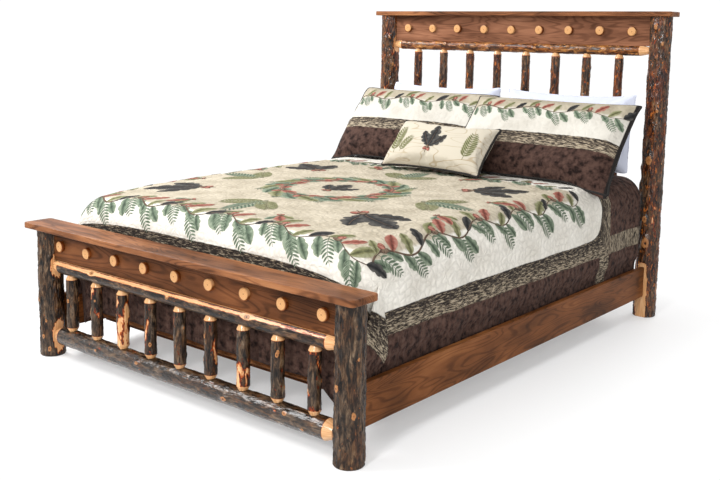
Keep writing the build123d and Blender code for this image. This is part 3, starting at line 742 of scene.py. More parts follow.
def buildRowTree():
    # copies of one object in a straight row, each turned by its own amount about Y
    tree, g, add = treeWith("row", [
        ("Piece", "Object", None), ("Count", "Int", 9), ("Start", "Vector", (0, 0, 0)),
        ("Step", "Vector", (0.1, 0, 0)), ("Seed", "Int", 0), ("Surface", "Material", None)])
    line = add("GeometryNodeMeshLine", g["Count"], g["Start"], g["Step"], mode="OFFSET")
    piece = add("GeometryNodeObjectInfo", g["Piece"], True)
    spin = add("FunctionNodeRandomValue", 0.0, 2 * math.pi, None, g["Seed"], data_type="FLOAT")
    turn = add("CombineXYZ", 0.0, spin, 0.0)
    copies = add("GeometryNodeInstanceOnPoints", line, None, piece.outputs["Geometry"], None, None, turn)
    return endTree(tree, copies, g["Surface"])


rowTree = buildRowTree()
sliceWood = sliceMaterial()


def makeButtons(end, count, seed):
    node = f"{end}_buttons"
    lo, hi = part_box(node)
    radius = (hi.z - lo.z) / 2
    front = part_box(f"{end}_panel")[0].y
    proud = front - lo.y
    ease = 0.0018  # the sanded edge
    outline = [(radius - 0.0004, -0.002), (radius, 0.001), (radius, proud - ease),
               (radius - ease * 0.4, proud - ease * 0.35), (radius - ease, proud),
               (radius * 0.5, proud + 0.0003)]
    piece = lathe("slicePiece", outline, 48, sliceWood)
    step = (hi.x - lo.x - 2 * radius) / (count - 1)
    inputs = {"Piece": piece, "Count": count, "Start": (lo.x + radius, front, (lo.z + hi.z) / 2),
              "Step": (step, 0.0, 0.0), "Seed": seed, "Surface": sliceWood}
    row = runTree(rowTree, "log_slices_" + end, inputs)
    bpy.data.objects.remove(piece)
    standFor(row, node)


makeButtons("foot", 9, 3)
makeButtons("head", 9, 8)
print("buttons are on the panels")


quiltHex = {
    "tan": ("#a09683", "#b0a693", "#beb4a1"), "cream": ("#ccc7bd", "#ddd9d0"),
    "brown": ("#201614", "#42302a", "#564139"),
    "band": ("#2a2522", "#4c433b", "#918470", "#b0a490"), "binding": "#262322",
}
# the shams lean towards the lamps, so their cloth colours are a darker copy of the quilt's: painted shade that
# holds back the extra light they catch
shamHexShaded = dict(quiltHex, tan=("#958c7a", "#a59c89", "#b2a997"), cream=("#b6b1a7", "#c5c1b8"),
               brown=("#1c1311", "#3a2a25", "#4c3932"))
clothSheen = 0.03


def grounds(add, flat, hexes):
    # the cloth's mottled brown, cream and tan
    brown = mottled(add, flat, 34.0, zip((0.36, 0.47, 0.62), hexes["brown"]))
    cream = mottled(add, flat, 7.0, zip((0.35, 0.6), hexes["cream"]))
    tan = mottled(add, flat, 9.0, zip((0.32, 0.5, 0.68), hexes["tan"]), 5.0)
    return brown, cream, tan


def quiltedBump(add, flat, cell, depth):
    # puffs between wandering stitch lines, and a fine weave
    warp = add("TexNoise", flat, 26.0, 2.0)
    warp = add("VectorMath scale", warp.outputs["Color"], 0.03)
    bent = add("VectorMath add", flat, warp)
    cells = add("TexVoronoi", bent, 1 / cell, None, None, None, 0.9, feature="DISTANCE_TO_EDGE")
    puff = add("MapRange", cells, 0.0, 0.34, interpolation_type="SMOOTHSTEP")
    creases = add("TexNoise", bent, 95.0, 3.0, 0.6)
    high = add("Math multiply_add", creases, 0.35, puff)
    weave = add("TexNoise", flat, 900.0, 2.0)
    high = add("Math multiply_add", weave, 0.05, high)
    bump = add("Bump", 0.55, depth, None, high)
    return bump, puff


def tweed(add, along, across):
    # dark band with pale broken dashes along it, more of them towards its outer edge
    place = add("CombineXYZ", along, across, 0.0)
    scaled = add("Mapping", place, None, None, (1 / 0.030, 1 / 0.0048, 1.0))
    noise = add("TexNoise", scaled, 1.0, 3.0, 0.6, None, 0.9)
    paler = add("MapRange", across, 0.02, 0.07, 0.035, -0.045)
    mix = add("Math add", noise, paler)
    return ramp(add, mix, zip((0.44, 0.51, 0.58, 0.72), quiltHex["band"]))


def zoneStep(add, distance, edge, soft):
    # 0 below the edge, 1 above it, over a soft width
    return add("MapRange", distance, edge - soft / 2, edge + soft / 2)


def quiltMaterial():
    # printed quilt: tan field, cream border, tweed band and mottled brown edge, set out from the cloth's edges
    material, add = newMaterial("printedQuilt", Roughness=0.85, Sheen_Weight=clothSheen)
    flat = add("Attribute", attribute_name="flat").outputs["Vector"]
    part = add("SeparateXYZ", flat)
    p, q = part.outputs[0], part.outputs[1]
    ragged = add("TexNoise", flat, 55.0, 3.0)
    ragged = add("Math subtract", ragged, 0.5)
    side = add("Math subtract", quilt["flatHalf"], add("Math absolute", p))
    foot = add("Math subtract", q, quilt["flatFoot"])
    head = add("Math subtract", quilt["head"], q)

    def nested(name):
        # distance inwards of a zone's rounded, slightly ragged edge
        inset = zones[name]
        depth = add("Math subtract", side, inset["side"])
        for distance, key in ((foot, "foot"), (head, "head")):
            inner = add("Math subtract", distance, inset[key])
            depth = add("Math smooth_min", depth, inner, inset["round"])
        return add("Math multiply_add", ragged, 0.006, depth)

    def stripe(distance, name):
        # the band runs on past its corner, to the cloth's edge
        low, high = zones["band"][name], zones["cream"][name]
        past = [zoneStep(add, distance, edge, 0.004) for edge in (low, high)]
        return add("Math subtract", *past)

    depth = nested("band")
    running = add("Math maximum", stripe(side, "side"), stripe(head, "head"))
    inBand = add("Math maximum", running, zoneStep(add, depth, 0.0, 0.004))
    inCream = zoneStep(add, nested("cream"), 0.0, 0.003)
    inTan = zoneStep(add, nested("tan"), 0.0, 0.012)
    # the tweed's dashes run along the nearest edge
    fromSide, fromFoot, fromHead = (
        add("Math subtract", distance, zones["band"][name])
        for distance, name in ((side, "side"), (foot, "foot"), (head, "head")))
    bySide = add("Math less_than", fromSide, add("Math minimum", fromFoot, fromHead))
    along = add("Mix", bySide, p, q)
    brown, cream, tan = grounds(add, flat, quiltHex)
    final = brown
    for cloth, share in ((tweed(add, along, depth), inBand), (cream, inCream), (tan, inTan)):
        final = layered(add, final, cloth, share)
    bump, puff = quiltedBump(add, flat, 0.030, 0.004)
    # painted shade: the cloth's colour is darkened a little in the stitched valleys between the puffs
    stitchShade = add("MapRange", puff, 0.0, 0.5, 0.90, 1.0)
    return surfaced(material, Base_Color=multiplied(add, final, stitchShade), Normal=bump)


quiltLo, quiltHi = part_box("quilt")
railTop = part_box("side_rail_left")[1].z
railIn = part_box("side_rail_right")[0].x
quilt = {
    "half": quiltHi.x - 0.003, "foot": quiltLo.y + 0.003, "head": quiltHi.y, "top": quiltHi.z - 0.002,
    "footHem": quiltLo.z, "sideHem": railTop - 0.015,
    "corner": 0.115, "edge": 0.105,  # radii of its foot corners seen from above, and of its top edges
    "thick": 0.006, "cell": 0.0125,  # cell is the size of its mesh
}
quilt["coreX"] = quilt["half"] - quilt["corner"]
quilt["coreY"] = quilt["foot"] + quilt["corner"]
quilt["bend"] = quilt["edge"] * math.pi / 2
quilt["sideFall"] = quilt["top"] - quilt["edge"] - quilt["sideHem"]
quilt["footFall"] = quilt["top"] - quilt["edge"] - quilt["footHem"]
quilt["flatHalf"] = quilt["half"] - quilt["edge"] + quilt["bend"] + quilt["sideFall"]
quilt["flatFoot"] = quilt["foot"] + quilt["edge"] - quilt["bend"] - quilt["footFall"]


def smooth(x):
    x = np.clip(x, 0, 1)
    return x * x * (3 - 2 * x)


def waves(p, q, low, high, seed, count=9):
    # smooth random relief: plane waves between two wavelengths, in metres, from -1 to 1
    source = np.random.default_rng(seed)
    total = 0
    for _ in range(count):
        length = source.uniform(low, high)
        turn, phase = source.uniform(0, 2 * math.pi, 2)
        total = total + np.sin(2 * math.pi * (p * math.cos(turn) + q * math.sin(turn)) / length + phase)
    return total / math.sqrt(count) / 1.6


def drape(p, q):
    # flat cloth coordinates to its place on the bed: over the edges, down the drops and round the foot corners
    ex = np.maximum(np.abs(p) - quilt["coreX"], 0)
    ey = np.maximum(quilt["coreY"] - q, 0)
    s = np.hypot(ex, ey)
    safe = np.maximum(s, 1e-9)
    wayX, wayY = np.sign(p) * ex / safe, -ey / safe
    level = quilt["corner"] - quilt["edge"]
    bend = np.clip((s - level) / quilt["edge"], 0, math.pi / 2)
    fall = np.maximum(s - level - quilt["bend"], 0)
    out = np.minimum(s, level) + quilt["edge"] * np.sin(bend)
    z = quilt["top"] - quilt["edge"] * (1 - np.cos(bend)) - fall
    tuck = quilt["half"] - railIn + 0.010
    out = out - tuck * smooth((railTop + 0.075 - z) / 0.06) * np.abs(wayX)
    x = np.clip(p, -quilt["coreX"], quilt["coreX"]) + wayX * out
    y = np.maximum(q, quilt["coreY"]) + wayY * out
    # the mattress is soft: it sags towards the foot, most at the corners, and is a little crowned
    hang = smooth((z - 0.40) / 0.26)
    near = np.exp(-np.maximum(y - quilt["foot"], 0) / 0.24)
    rim = (np.abs(x) / quilt["half"]) ** 4
    sag = near * (0.012 + 0.062 * rim) + 0.010 * rim
    z = z - sag * hang
    return np.stack([x, y, z], -1)


def quiltPoint(p, q):
    # the draped surface with its soft waves, and its normal
    step = 0.002
    here = drape(p, q)
    normal = np.cross(drape(p + step, q) - drape(p - step, q), drape(p, q + step) - drape(p, q - step))
    normal /= np.maximum(np.linalg.norm(normal, axis=-1, keepdims=True), 1e-12)
    drop = smooth((quilt["top"] - quilt["edge"] - here[..., 2]) / 0.12)
    onTop = 1 - smooth((quilt["top"] - 0.02 - here[..., 2]) / 0.06)
    along = np.where(np.abs(p) > quilt["coreX"], q, p)
    folds = np.sin(2 * math.pi * along / 0.31 + 2.2 * waves(p, q, 0.4, 0.9, 3))
    relief = 0.0016 * waves(p, q, 0.10, 0.28, 1) * onTop + 0.0035 * folds * drop * smooth(1.0 - drop * 0.2)
    relief = relief - 0.0036  # so that its crests stay inside the quilt's solid
    return here + normal * relief[..., None], normal


def cutCorner(p, q):
    # the flat cloth's foot corners are cut to a quarter ellipse
    maxX, maxY = quilt["flatHalf"] - quilt["coreX"], quilt["coreY"] - quilt["flatFoot"]
    ex = np.maximum(np.abs(p) - quilt["coreX"], 0) / maxX
    ey = np.maximum(quilt["coreY"] - q, 0) / maxY
    newX = ex * np.sqrt(1 - ey * ey / 2) * maxX
    newY = ey * np.sqrt(1 - ex * ex / 2) * maxY
    across = np.where(ex > 0, np.sign(p) * (quilt["coreX"] + newX), p)
    return across, np.where(ey > 0, quilt["coreY"] - newY, q)


def gridFaces(rows, columns, start=0, flip=False):
    i, j = np.meshgrid(np.arange(rows - 1), np.arange(columns - 1), indexing="ij")
    a = (start + i * columns + j).ravel()
    quads = np.stack([a, a + 1, a + columns + 1, a + columns], -1)
    return (quads[:, ::-1] if flip else quads).tolist()


def sheetMesh(name, outer, inner, flat, material, flip=False):
    # a thick sheet from two grids of points, closed round its edges
    rows, columns = outer.shape[:2]
    count = rows * columns
    verts = np.concatenate([outer.reshape(-1, 3), inner.reshape(-1, 3)])
    faces = gridFaces(rows, columns, 0, flip) + gridFaces(rows, columns, count, not flip)
    edge = list(range(columns)) + [i * columns + columns - 1 for i in range(1, rows)]
    edge += [(rows - 1) * columns + j for j in range(columns - 2, -1, -1)]
    edge += [i * columns for i in range(rows - 2, 0, -1)]
    for a, b in zip(edge, edge[1:] + edge[:1]):
        faces.append((a, a + count, b + count, b) if not flip else (b, b + count, a + count, a))
    made = placed(name, verts, faces, material)
    setAttribute(made.data, "flat", "FLOAT_VECTOR", np.concatenate([flat.reshape(-1, 3)] * 2))
    return made


# each zone's distance from the flat cloth's edges, and the rounding of its corners
zones = {
    "band": {"side": 0.135, "foot": 0.350, "head": 0.318, "round": 0.02},
    "cream": {"side": 0.218, "foot": 0.448, "head": 0.405, "round": 0.16},
    "tan": {"side": 0.430, "foot": 0.575, "head": 0.575, "round": 0.10},
}
quiltCloth = quiltMaterial()


def makeQuilt():
    columns = int(2 * quilt["flatHalf"] / quilt["cell"]) + 1
    rows = int((quilt["head"] - quilt["flatFoot"]) / quilt["cell"]) + 1
    down = np.linspace(quilt["flatFoot"], quilt["head"], rows)
    over = np.linspace(-quilt["flatHalf"], quilt["flatHalf"], columns)
    q, p = np.meshgrid(down, over, indexing="ij")
    p, q = cutCorner(p, q)
    # the hem is drawn up between the foot corners
    drop = np.clip((quilt["coreY"] - q) / (quilt["coreY"] - quilt["flatFoot"]), 0, 1)
    q = q + 0.065 * smooth((0.70 - np.abs(p)) / 0.14) * smooth((drop - 0.4) / 0.6)
    outer, normal = quiltPoint(p, q)
    inner = outer - normal * quilt["thick"]
    return sheetMesh("quilt_cloth", outer, inner, np.stack([p, q, 0 * p], -1), quiltCloth)


def makeFlap(side):
    # the spare cloth of the foot corner, folded flat along the side; its band runs down at a slant
    steps, rows = 22, 30
    footAxis = middle("foot_post_left").y
    t = np.linspace(0, 1, rows)[:, None] * np.ones((1, steps))
    a = np.linspace(0, 1, steps)[None, :] * np.ones((rows, 1))
    high, low = 0.545 - 0.16 * (1 - a), railTop - 0.012
    z = high + (low - high) * t
    crease = footAxis + 0.148 + 0.050 * np.sin(t * math.pi * 0.62) - 0.06 * smooth((t - 0.86) / 0.14)
    start = quilt["foot"] + 0.005
    y = start + (crease - start) * a
    z = z - 0.012 * a * (1 - t)
    # the side's own surface under it, then out by the fold's thickness, most near the crease
    tuck = (quilt["half"] - railIn + 0.010) * smooth((railTop + 0.075 - z) / 0.06)
    under = quilt["half"] - 0.003 - tuck
    lift = 0.0075 * smooth(a * 1.6) * (0.35 + 0.65 * smooth(t * 6)) * (1 - 0.55 * smooth((t - 0.80) / 0.2))
    lift = (0.004 + lift) * (1 - smooth((a - 0.93) / 0.07) * 0.75)
    x = side * (under + lift)
    outer = np.stack([x, y, z], -1)
    inner = outer - np.stack([side * np.minimum(lift - 0.0005, 0.006), 0 * y, 0 * z], -1)
    # heights of the slanting band's two edges, by the distance from the foot posts
    away = y - footAxis
    bandTop = 0.487 - (away - 0.072) * 0.62
    bandLow = 0.375 - (away - 0.074) * 0.92
    depth = zones["band"]["foot"]
    depth = depth + (zones["cream"]["foot"] - depth) * (z - bandLow) / (bandTop - bandLow)
    slant = 0.30 + away * 1.4 - z * 0.5
    flat = np.stack([side * slant, quilt["flatFoot"] + depth, 0 * y], -1)
    hand = "right" if side > 0 else "left"
    return sheetMesh("quilt_fold_" + hand, outer, inner, flat, quiltCloth, flip=side > 0)


quiltPiece = makeQuilt()
folds = [makeFlap(-1), makeFlap(1)]
for piece in [quiltPiece] + folds:
    standFor(piece, "quilt")
print("quilt is spread")


def tickingMaterial(name, code, dark, cell):
    material, add = newMaterial(name, Roughness=0.8, Sheen_Weight=clothSheen)
    place = add("TexCoord").outputs["Object"]
    tone = mottled(add, place, 6.0, [(0.4, dark), (0.6, code)])
    bump, _ = quiltedBump(add, place, cell, 0.004)
    return surfaced(material, Base_Color=tone, Normal=bump)


def roundedBlock(name, lo, hi, corner, edge, bulge, material, sagTop=False):
    # stuffed block with soft edges; its points start as a cube's grid and are drawn in to the rounded form
    made = bmesh.new()
    bmesh.ops.create_cube(made, size=2)
    bmesh.ops.subdivide_edges(made, edges=made.edges[:], cuts=47, use_grid_fill=True)
    mesh = bpy.data.meshes.new(name)
    made.to_mesh(mesh)
    made.free()
    v = np.empty(len(mesh.vertices) * 3, np.float32)
    mesh.vertices.foreach_get("co", v)
    v = v.reshape(-1, 3).astype(float)
    centre, half = (np.array(lo) + hi) / 2, (np.array(hi) - lo) / 2
    # vertical corners first, then the top and bottom edges
    v = np.sign(v) * (1 - (1 - np.abs(v)) ** 1.35)
    point = v * half
    core = np.clip(point[:, :2], -(half[:2] - corner), half[:2] - corner)
    off = point[:, :2] - core
    length = np.linalg.norm(off, axis=1)
    square = np.maximum(np.abs(off).max(1), 1e-9)
    point[:, :2] = core + off * (np.where(length > 0, square / np.maximum(length, 1e-9), 1))[:, None]
    inset = np.minimum(half[2] - np.abs(point[:, 2]), edge)
    drawn = edge - np.sqrt(np.maximum(edge ** 2 - (edge - inset) ** 2, 0))
    inward = np.where((square > corner * 0.999)[:, None], off / np.maximum(length, 1e-9)[:, None], 0)
    point[:, :2] -= inward * drawn[:, None]
    swell = bulge * (1 - (point[:, 2] / half[2]) ** 2)
    point[:, :2] += inward * (swell - bulge)[:, None]
    point += centre
    if sagTop:
        near = np.exp(-np.maximum(point[:, 1] - quilt["foot"], 0) / 0.24)
        rim = (np.abs(point[:, 0]) / quilt["half"]) ** 4
        high = smooth((point[:, 2] - 0.40) / 0.26)
        point[:, 2] -= (near * (0.016 + 0.062 * rim) + 0.010 * rim + 0.020) * high
    mesh.vertices.foreach_set("co", point.astype(np.float32).ravel())
    mesh.update()
    mesh.materials.append(material)
    shadeSmooth(mesh)
    return newObject(name, mesh)


def tube(name, path, radius, material, around=10):
    # closed round cord along a list of points
    path = [Vector(p) for p in path]
    count = len(path)
    verts, faces = [], []
    for i, point in enumerate(path):
        way = (path[(i + 1) % count] - path[i - 1]).normalized()
        side = way.cross(Vector((0, 0, 1)))
        if side.length < 0.2:  # it climbs too steeply to measure from level
            side = way.cross(Vector((0, 1, 0)))
        side.normalize()
        up = side.cross(way)
        for k in range(around):
            x, y = polar(radius, 2 * math.pi * k / around)
            verts.append(point + side * x + up * y)
            a, b = i * around + k, i * around + (k + 1) % around
            c, d = (a + around) % (count * around), (b + around) % (count * around)
            faces.append((a, c, d, b))
    return placed(name, verts, faces, material)


ticking = tickingMaterial("wovenTicking", "#ecebe6", "#dedcd5", 0.07)
boxCloth = tickingMaterial("foundationCover", "#7d4e2e", "#643c22", 0.012)
tape = tickingMaterial("borderTape", "#8a5a36", "#714627", 0.006)


def outlinePath(lo, hi, corner, z, inset=0.0, steps=14):
    points = []
    for sx, sy, start in ((1, 1, 0), (-1, 1, 1), (-1, -1, 2), (1, -1, 3)):
        centre = (sx * (hi[0] - corner), (hi[1] - corner) if sy > 0 else (lo[1] + corner))
        for k in range(steps + 1):
            points.append((*polar(corner - inset, (start + k / steps) * math.pi / 2, centre), z))
    return points


def makeBlock(node, material, corner, edge, sagTop, seams):
    lo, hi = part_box(node)
    lo, hi = np.array(lo) + (0.011, 0.011, 0), np.array(hi) - (0.011, 0.004, 0)
    piece = roundedBlock(node + "_body", lo, hi, corner, edge, 0.006, material, sagTop)
    standFor(piece, node)
    for i, z in enumerate(seams):
        standFor(tube(f"{node}_tape_{i}", outlinePath(lo, hi, corner, z, 0.006), 0.005, tape), node)


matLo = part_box("mattress")[0]
makeBlock("mattress", ticking, 0.14, 0.13, True, [matLo.z + 0.035])
boxLo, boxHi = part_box("foundation")
makeBlock("foundation", boxCloth, 0.115, 0.018, False, [boxHi.z - 0.014, boxLo.z + 0.014])
print("mattress and foundation are covered")


# tilt is in degrees from level, pull is how far the sides draw in, cap is the most that the filling swells the
# cloth, slack is the form's depth before that, and seamBack is how far the seam lies behind the middle
cushionSets = {
    "throw": {"width": 0.566, "height": 0.290, "thick": 0.124, "tilt": 47, "pull": 0.020, "voxel": 0.0055,
              "cap": 0.012, "slack": 0.86, "seamBack": 0.0},
    "sham": {"width": 0.875, "height": 0.485, "thick": 0.116, "tilt": 48, "pull": 0.010, "voxel": 0.0078,
             "cap": 0.014, "slack": 0.84, "seamBack": 0.010},
    "white": {"width": 0.720, "height": 0.400, "thick": 0.125, "tilt": 80, "pull": 0.022, "voxel": 0.0085,
              "cap": 0.016, "slack": 0.82, "seamBack": 0.0},
}
# each cushion's move from its CAD node's middle: across the bed, up its slope and out of its face
cushionMoves = {
    "pillow_left": (0.028, 0.0, 0.0), "pillow_right": (0.018, 0.0, 0.0),
    "throw_pillow": (-0.024, -0.004, 0.0),
    "sham_left": (0.020, 0.018, -0.036), "sham_right": (0.000, -0.025, 0.008),
}
# heights on a sham where the tweed, the cream and the tan begin, from its middle
shamBands = (-0.080, -0.014, 0.126)


def cushionFrame(node, facts):
    # the cushion's own axes in the bed: across, up its slope and out of its face, from its CAD node's middle
    lo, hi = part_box(node)
    tilt = math.radians(facts["tilt"])
    across = np.array([1.0, 0.0, 0.0])
    up = np.array([0.0, math.cos(tilt), math.sin(tilt)])
    out = np.array([0.0, -math.sin(tilt), math.cos(tilt)])
    centre = np.array((lo + hi) / 2)
    aside, rise, forward = cushionMoves[node]
    return centre + aside * across + rise * up + forward * out, across, up, out


def pinched(a, b, facts):
    # outline of the cushion for a and b from -1 to 1: its sides pull in between the corners
    w, h, pull = facts["width"] / 2, facts["height"] / 2, facts["pull"]
    x = a * (w - pull * 0.5 * (1 - b ** 2) * np.abs(a) ** 3)
    y = b * (h - pull * 0.7 * (1 - a ** 2) * np.abs(b) ** 3)
    return x, y


def cushionForm(name, node, facts, seed, material):
    # crowned closed form with a seam all round, before it is blown up
    centre, across, up, out = cushionFrame(node, facts)
    nx, ny = 64, 40
    a, b = np.meshgrid(np.linspace(-1, 1, nx + 1), np.linspace(-1, 1, ny + 1), indexing="ij")
    x, y = pinched(a, b, facts)
    full = np.maximum((1 - np.abs(a) ** 3.0) * (1 - np.abs(b) ** 2.6), 0) ** 0.52
    low = 1 + 0.10 * np.where(b < 0, np.abs(b), -0.5 * b)  # the filling settles towards the lower edge
    depth = facts["slack"] * facts["thick"] / 2 * full * low
    depth = depth * (1 + 0.05 * waves(x, y, 0.09, 0.25, seed))
    bend = 0.006 * waves(x, y * 0.3, 0.4, 0.9, seed + 1)
    verts, faces = [], []
    for way in (1, -1):
        n = way * depth + bend
        points = centre + x[..., None] * across + y[..., None] * up + n[..., None] * out
        verts.append(points.reshape(-1, 3))
        faces += gridFaces(nx + 1, ny + 1, 0 if way > 0 else (nx + 1) * (ny + 1), way < 0)
    made = placed(name, np.concatenate(verts), faces, material)
    shell = bmesh.new()
    shell.from_mesh(made.data)
    bmesh.ops.remove_doubles(shell, verts=shell.verts, dist=0.0004)
    bmesh.ops.recalc_face_normals(shell, faces=shell.faces)
    if shell.calc_volume(signed=True) < 0:
        bmesh.ops.reverse_faces(shell, faces=shell.faces[:])
    shell.to_mesh(made.data)
    shell.free()
    return made


def readPoints(mesh):
    points = np.empty(len(mesh.vertices) * 3, np.float32)
    mesh.vertices.foreach_get("co", points)
    return points.reshape(-1, 3).astype(float)


def inflate(piece, facts):
    # remesh, blow up with cloth simulation, hold back what moves too far, and subdivide once
    bpy.context.view_layer.objects.active = piece
    remesh = piece.modifiers.new("remesh", "REMESH")
    remesh.mode = "VOXEL"
    remesh.voxel_size = facts["voxel"]
    applyModifiers(piece)
    before = readPoints(piece.data)
    cloth = piece.modifiers.new("cloth", "CLOTH")
    cloth.settings.use_pressure = True
    cloth.settings.uniform_pressure_force = 4
    cloth.settings.effector_weights.gravity = 0
    cloth.settings.quality = 5
    cloth.settings.bending_stiffness = 0.4
    cloth.collision_settings.use_collision = False
    cloth.point_cache.frame_start, cloth.point_cache.frame_end = 1, 20
    for number in range(1, 21):
        bpy.context.scene.frame_set(number)
    applyModifiers(piece)
    bpy.context.scene.frame_set(1)
    after = readPoints(piece.data)
    move = after - before
    far = np.linalg.norm(move, axis=1, keepdims=True)
    after = before + move * np.minimum(1, facts["cap"] / np.maximum(far, 1e-9))
    piece.data.vertices.foreach_set("co", after.astype(np.float32).ravel())
    finer = piece.modifiers.new("finer", "SUBSURF")
    finer.levels = finer.render_levels = 1
    applyModifiers(piece)


def applyModifiers(piece):
    mesh, old = evaluated(piece), piece.data
    piece.modifiers.clear()
    piece.data = mesh
    bpy.data.meshes.remove(old)


def drooped(points, node):
    # how far a sham's lower outer corner hangs over the mattress's round edge
    if "sham" not in node:
        return 0.0
    over = smooth((np.abs(points[:, 0]) - 0.60) / 0.24)
    return 0.055 * over * smooth((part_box(node)[0].z + 0.16 - points[:, 2]) / 0.16)


def settle(piece, node, facts):
    # presses the cushion's underside flat on the quilt and stores its flat coordinates for the print
    points = readPoints(piece.data)
    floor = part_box(node)[0].z + 0.001
    soft = 0.004
    over = points[:, 2] - floor - soft
    points[:, 2] = np.where(over < 0, floor + soft * np.exp(over / soft), points[:, 2])
    points[:, 2] -= drooped(points, node)
    piece.data.vertices.foreach_set("co", points.astype(np.float32).ravel())
    piece.data.update()
    centre, across, up, out = cushionFrame(node, facts)
    side = -1 if "left" in node else 1  # the print faces outwards on both sides of the bed
    local = np.stack([side * (points - centre) @ across, (points - centre) @ up, (points - centre) @ out], -1)
    setAttribute(piece.data, "flat", "FLOAT_VECTOR", local)


def searchable(piece):
    corners = [v.co.copy() for v in piece.data.vertices]
    return BVHTree.FromPolygons(corners, [tuple(p.vertices) for p in piece.data.polygons])


def seamPath(piece, node, facts, steps=180):
    # the points of the made cushion that lie nearest its seam's outline
    centre, across, up, out = cushionFrame(node, facts)
    shape = searchable(piece)
    points = []
    for i in range(steps):
        s = 4 * i / steps
        k, f = int(s), (s - int(s)) * 2 - 1
        a, b = ((f, -1), (1, f), (-f, 1), (-1, -f))[k]
        x, y = pinched(np.float64(a), np.float64(b), facts)
        target = centre + across * x * 1.03 + up * y * 1.05 - out * facts["seamBack"]
        hit = shape.find_nearest(Vector(target))
        points.append(np.array(hit[0]))
    points = np.array(points)
    for _ in range(2):
        points = (np.roll(points, 1, 0) + 2 * points + np.roll(points, -1, 0)) / 4
    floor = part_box(node)[0].z
    points[:, 2] = np.maximum(points[:, 2], floor + 0.006 - drooped(points, node))
    return points


def shamMaterial():
    # tan top, cream middle, tweed band and mottled brown foot, as on the quilt
    material, add = newMaterial("printedSham", Roughness=0.85, Sheen_Weight=clothSheen)
    flat = add("Attribute", attribute_name="flat").outputs["Vector"]
    part = add("SeparateXYZ", flat)
    ragged = add("TexNoise", flat, 55.0, 3.0)
    ragged = add("Math subtract", ragged, 0.5)
    height = add("Math multiply_add", ragged, 0.006, part.outputs[1])
    # the sham's colours are the quilt's, darkened with painted shade
    brown, cream, tan = grounds(add, flat, shamHexShaded)
    low, high, top = shamBands
    band = tweed(add, part.outputs[0], add("Math add", part.outputs[1], -low))
    final = brown
    for cloth, edge, soft in ((band, low, 0.004), (cream, high, 0.003), (tan, top, 0.014)):
        final = layered(add, final, cloth, zoneStep(add, height, edge, soft))
    bindingFrom = cushionSets["sham"]["width"] / 2 - 0.030
    bound = zoneStep(add, part.outputs[0], bindingFrom, 0.002)
    final = layered(add, final, colour(quiltHex["binding"]), bound)
    bump, _ = quiltedBump(add, flat, 0.034, 0.003)
    return surfaced(material, Base_Color=final, Normal=bump)


def canvasMaterial():
    # cream canvas with a few thin wandering tan lines
    material, add = newMaterial("printedCanvas", Roughness=0.85, Sheen_Weight=clothSheen)
    flat = add("Attribute", attribute_name="flat").outputs["Vector"]
    stretch = add("Mapping", flat, None, None, (2.4, 9.0, 4.0))
    noise = add("TexNoise", stretch, 1.6, 1.0)
    lines = add("Math multiply", noise, 46.0)
    lines = add("Math sine", lines)
    faint = add("TexNoise", flat, 8.0, 2.0)
    drawn = add("MapRange", lines, 0.90, 1.0)
    drawn = add("Math multiply", drawn, faint)
    final = layered(add, colour("#bbb3a3"), colour("#8f7955"), drawn)
    weave = add("TexNoise", flat, 700.0, 2.0)
    bump = add("Bump", 0.3, 0.0006, None, weave)
    return surfaced(material, Base_Color=final, Normal=bump)


def plainCloth(name, code):
    material, add = newMaterial(name, Roughness=0.85, Sheen_Weight=clothSheen, Base_Color=colour(code))
    place = add("TexCoord").outputs["Object"]
    creases = add("TexNoise", place, 24.0, 3.0, None, None, 1.5)
    weave = add("TexNoise", place, 800.0, 1.0)
    high = add("Math multiply_add", weave, 0.04, creases)
    bump = add("Bump", 0.35, 0.004, None, high)
    return surfaced(material, Normal=bump)


shamCloth = shamMaterial()
canvas = canvasMaterial()
whiteCotton = plainCloth("whiteCotton", "#c6cad9")
pipingCloth = plainCloth("charcoalPiping", "#2b2928")


def makeCushion(node, kind, material, seed, piping, corded, body):
    facts = cushionSets[kind]
    piece = cushionForm("soft_" + node, node, facts, seed, material)
    inflate(piece, facts)
    settle(piece, node, facts)
    standFor(piece, node, body)
    standFor(tube("piping_" + node, seamPath(piece, node, facts), piping, corded), node, body)
    return piece


cushions = {}
for node, kind, material, seed, piping, corded, body, slot in (
    ("pillow_left", "white", whiteCotton, 5, 0.002, whiteCotton, bedBody, "white_cotton"),
    ("pillow_right", "white", whiteCotton, 9, 0.002, whiteCotton, bedBody, "white_cotton"),
    ("sham_left", "sham", shamCloth, 12, 0.005, pipingCloth, bedBody, "sham_cotton"),
    ("sham_right", "sham", shamCloth, 17, 0.005, pipingCloth, bedBody, "sham_cotton"),
    ("throw_pillow", "throw", canvas, 21, 0.0062, pipingCloth, throwBody, "throw_cotton"),
):
    cushions[node] = makeCushion(node, kind, material, seed, piping, corded, body)
    print(node, "is filled")


def inkMaterial(name, dark, mid, light):
    # print ink: washed in from the dark rib to the pale edge of each leaf
    material, add = newMaterial(name, Roughness=0.85)
    flat = add("Attribute", attribute_name="flat").outputs["Vector"]
    shade = add("Attribute", attribute_name="shade").outputs["Fac"]
    wash = add("TexNoise", flat, 60.0, 3.0)
    tone = add("Math multiply_add", wash, 0.7, shade)
    ink = ramp(add, tone, [(0.30, dark), (0.62, mid), (0.98, light)])
    bump, _ = quiltedBump(add, flat, 0.030, 0.003)
    return surfaced(material, Base_Color=ink, Normal=bump)


inks = {
    "green": inkMaterial("greenInk", "#3c463b", "#5f6c5b", "#8c9582"),
    "olive": inkMaterial("oliveInk", "#4c4c36", "#70704f", "#97967a"),
    "russet": inkMaterial("russetInk", "#5a352e", "#864f44", "#a97c6e"),
    "charcoal": inkMaterial("charcoalInk", "#232323", "#343434", "#56534f"),
    "twig": inkMaterial("twigInk", "#3b302a", "#5d4c41", "#84725f"),
}


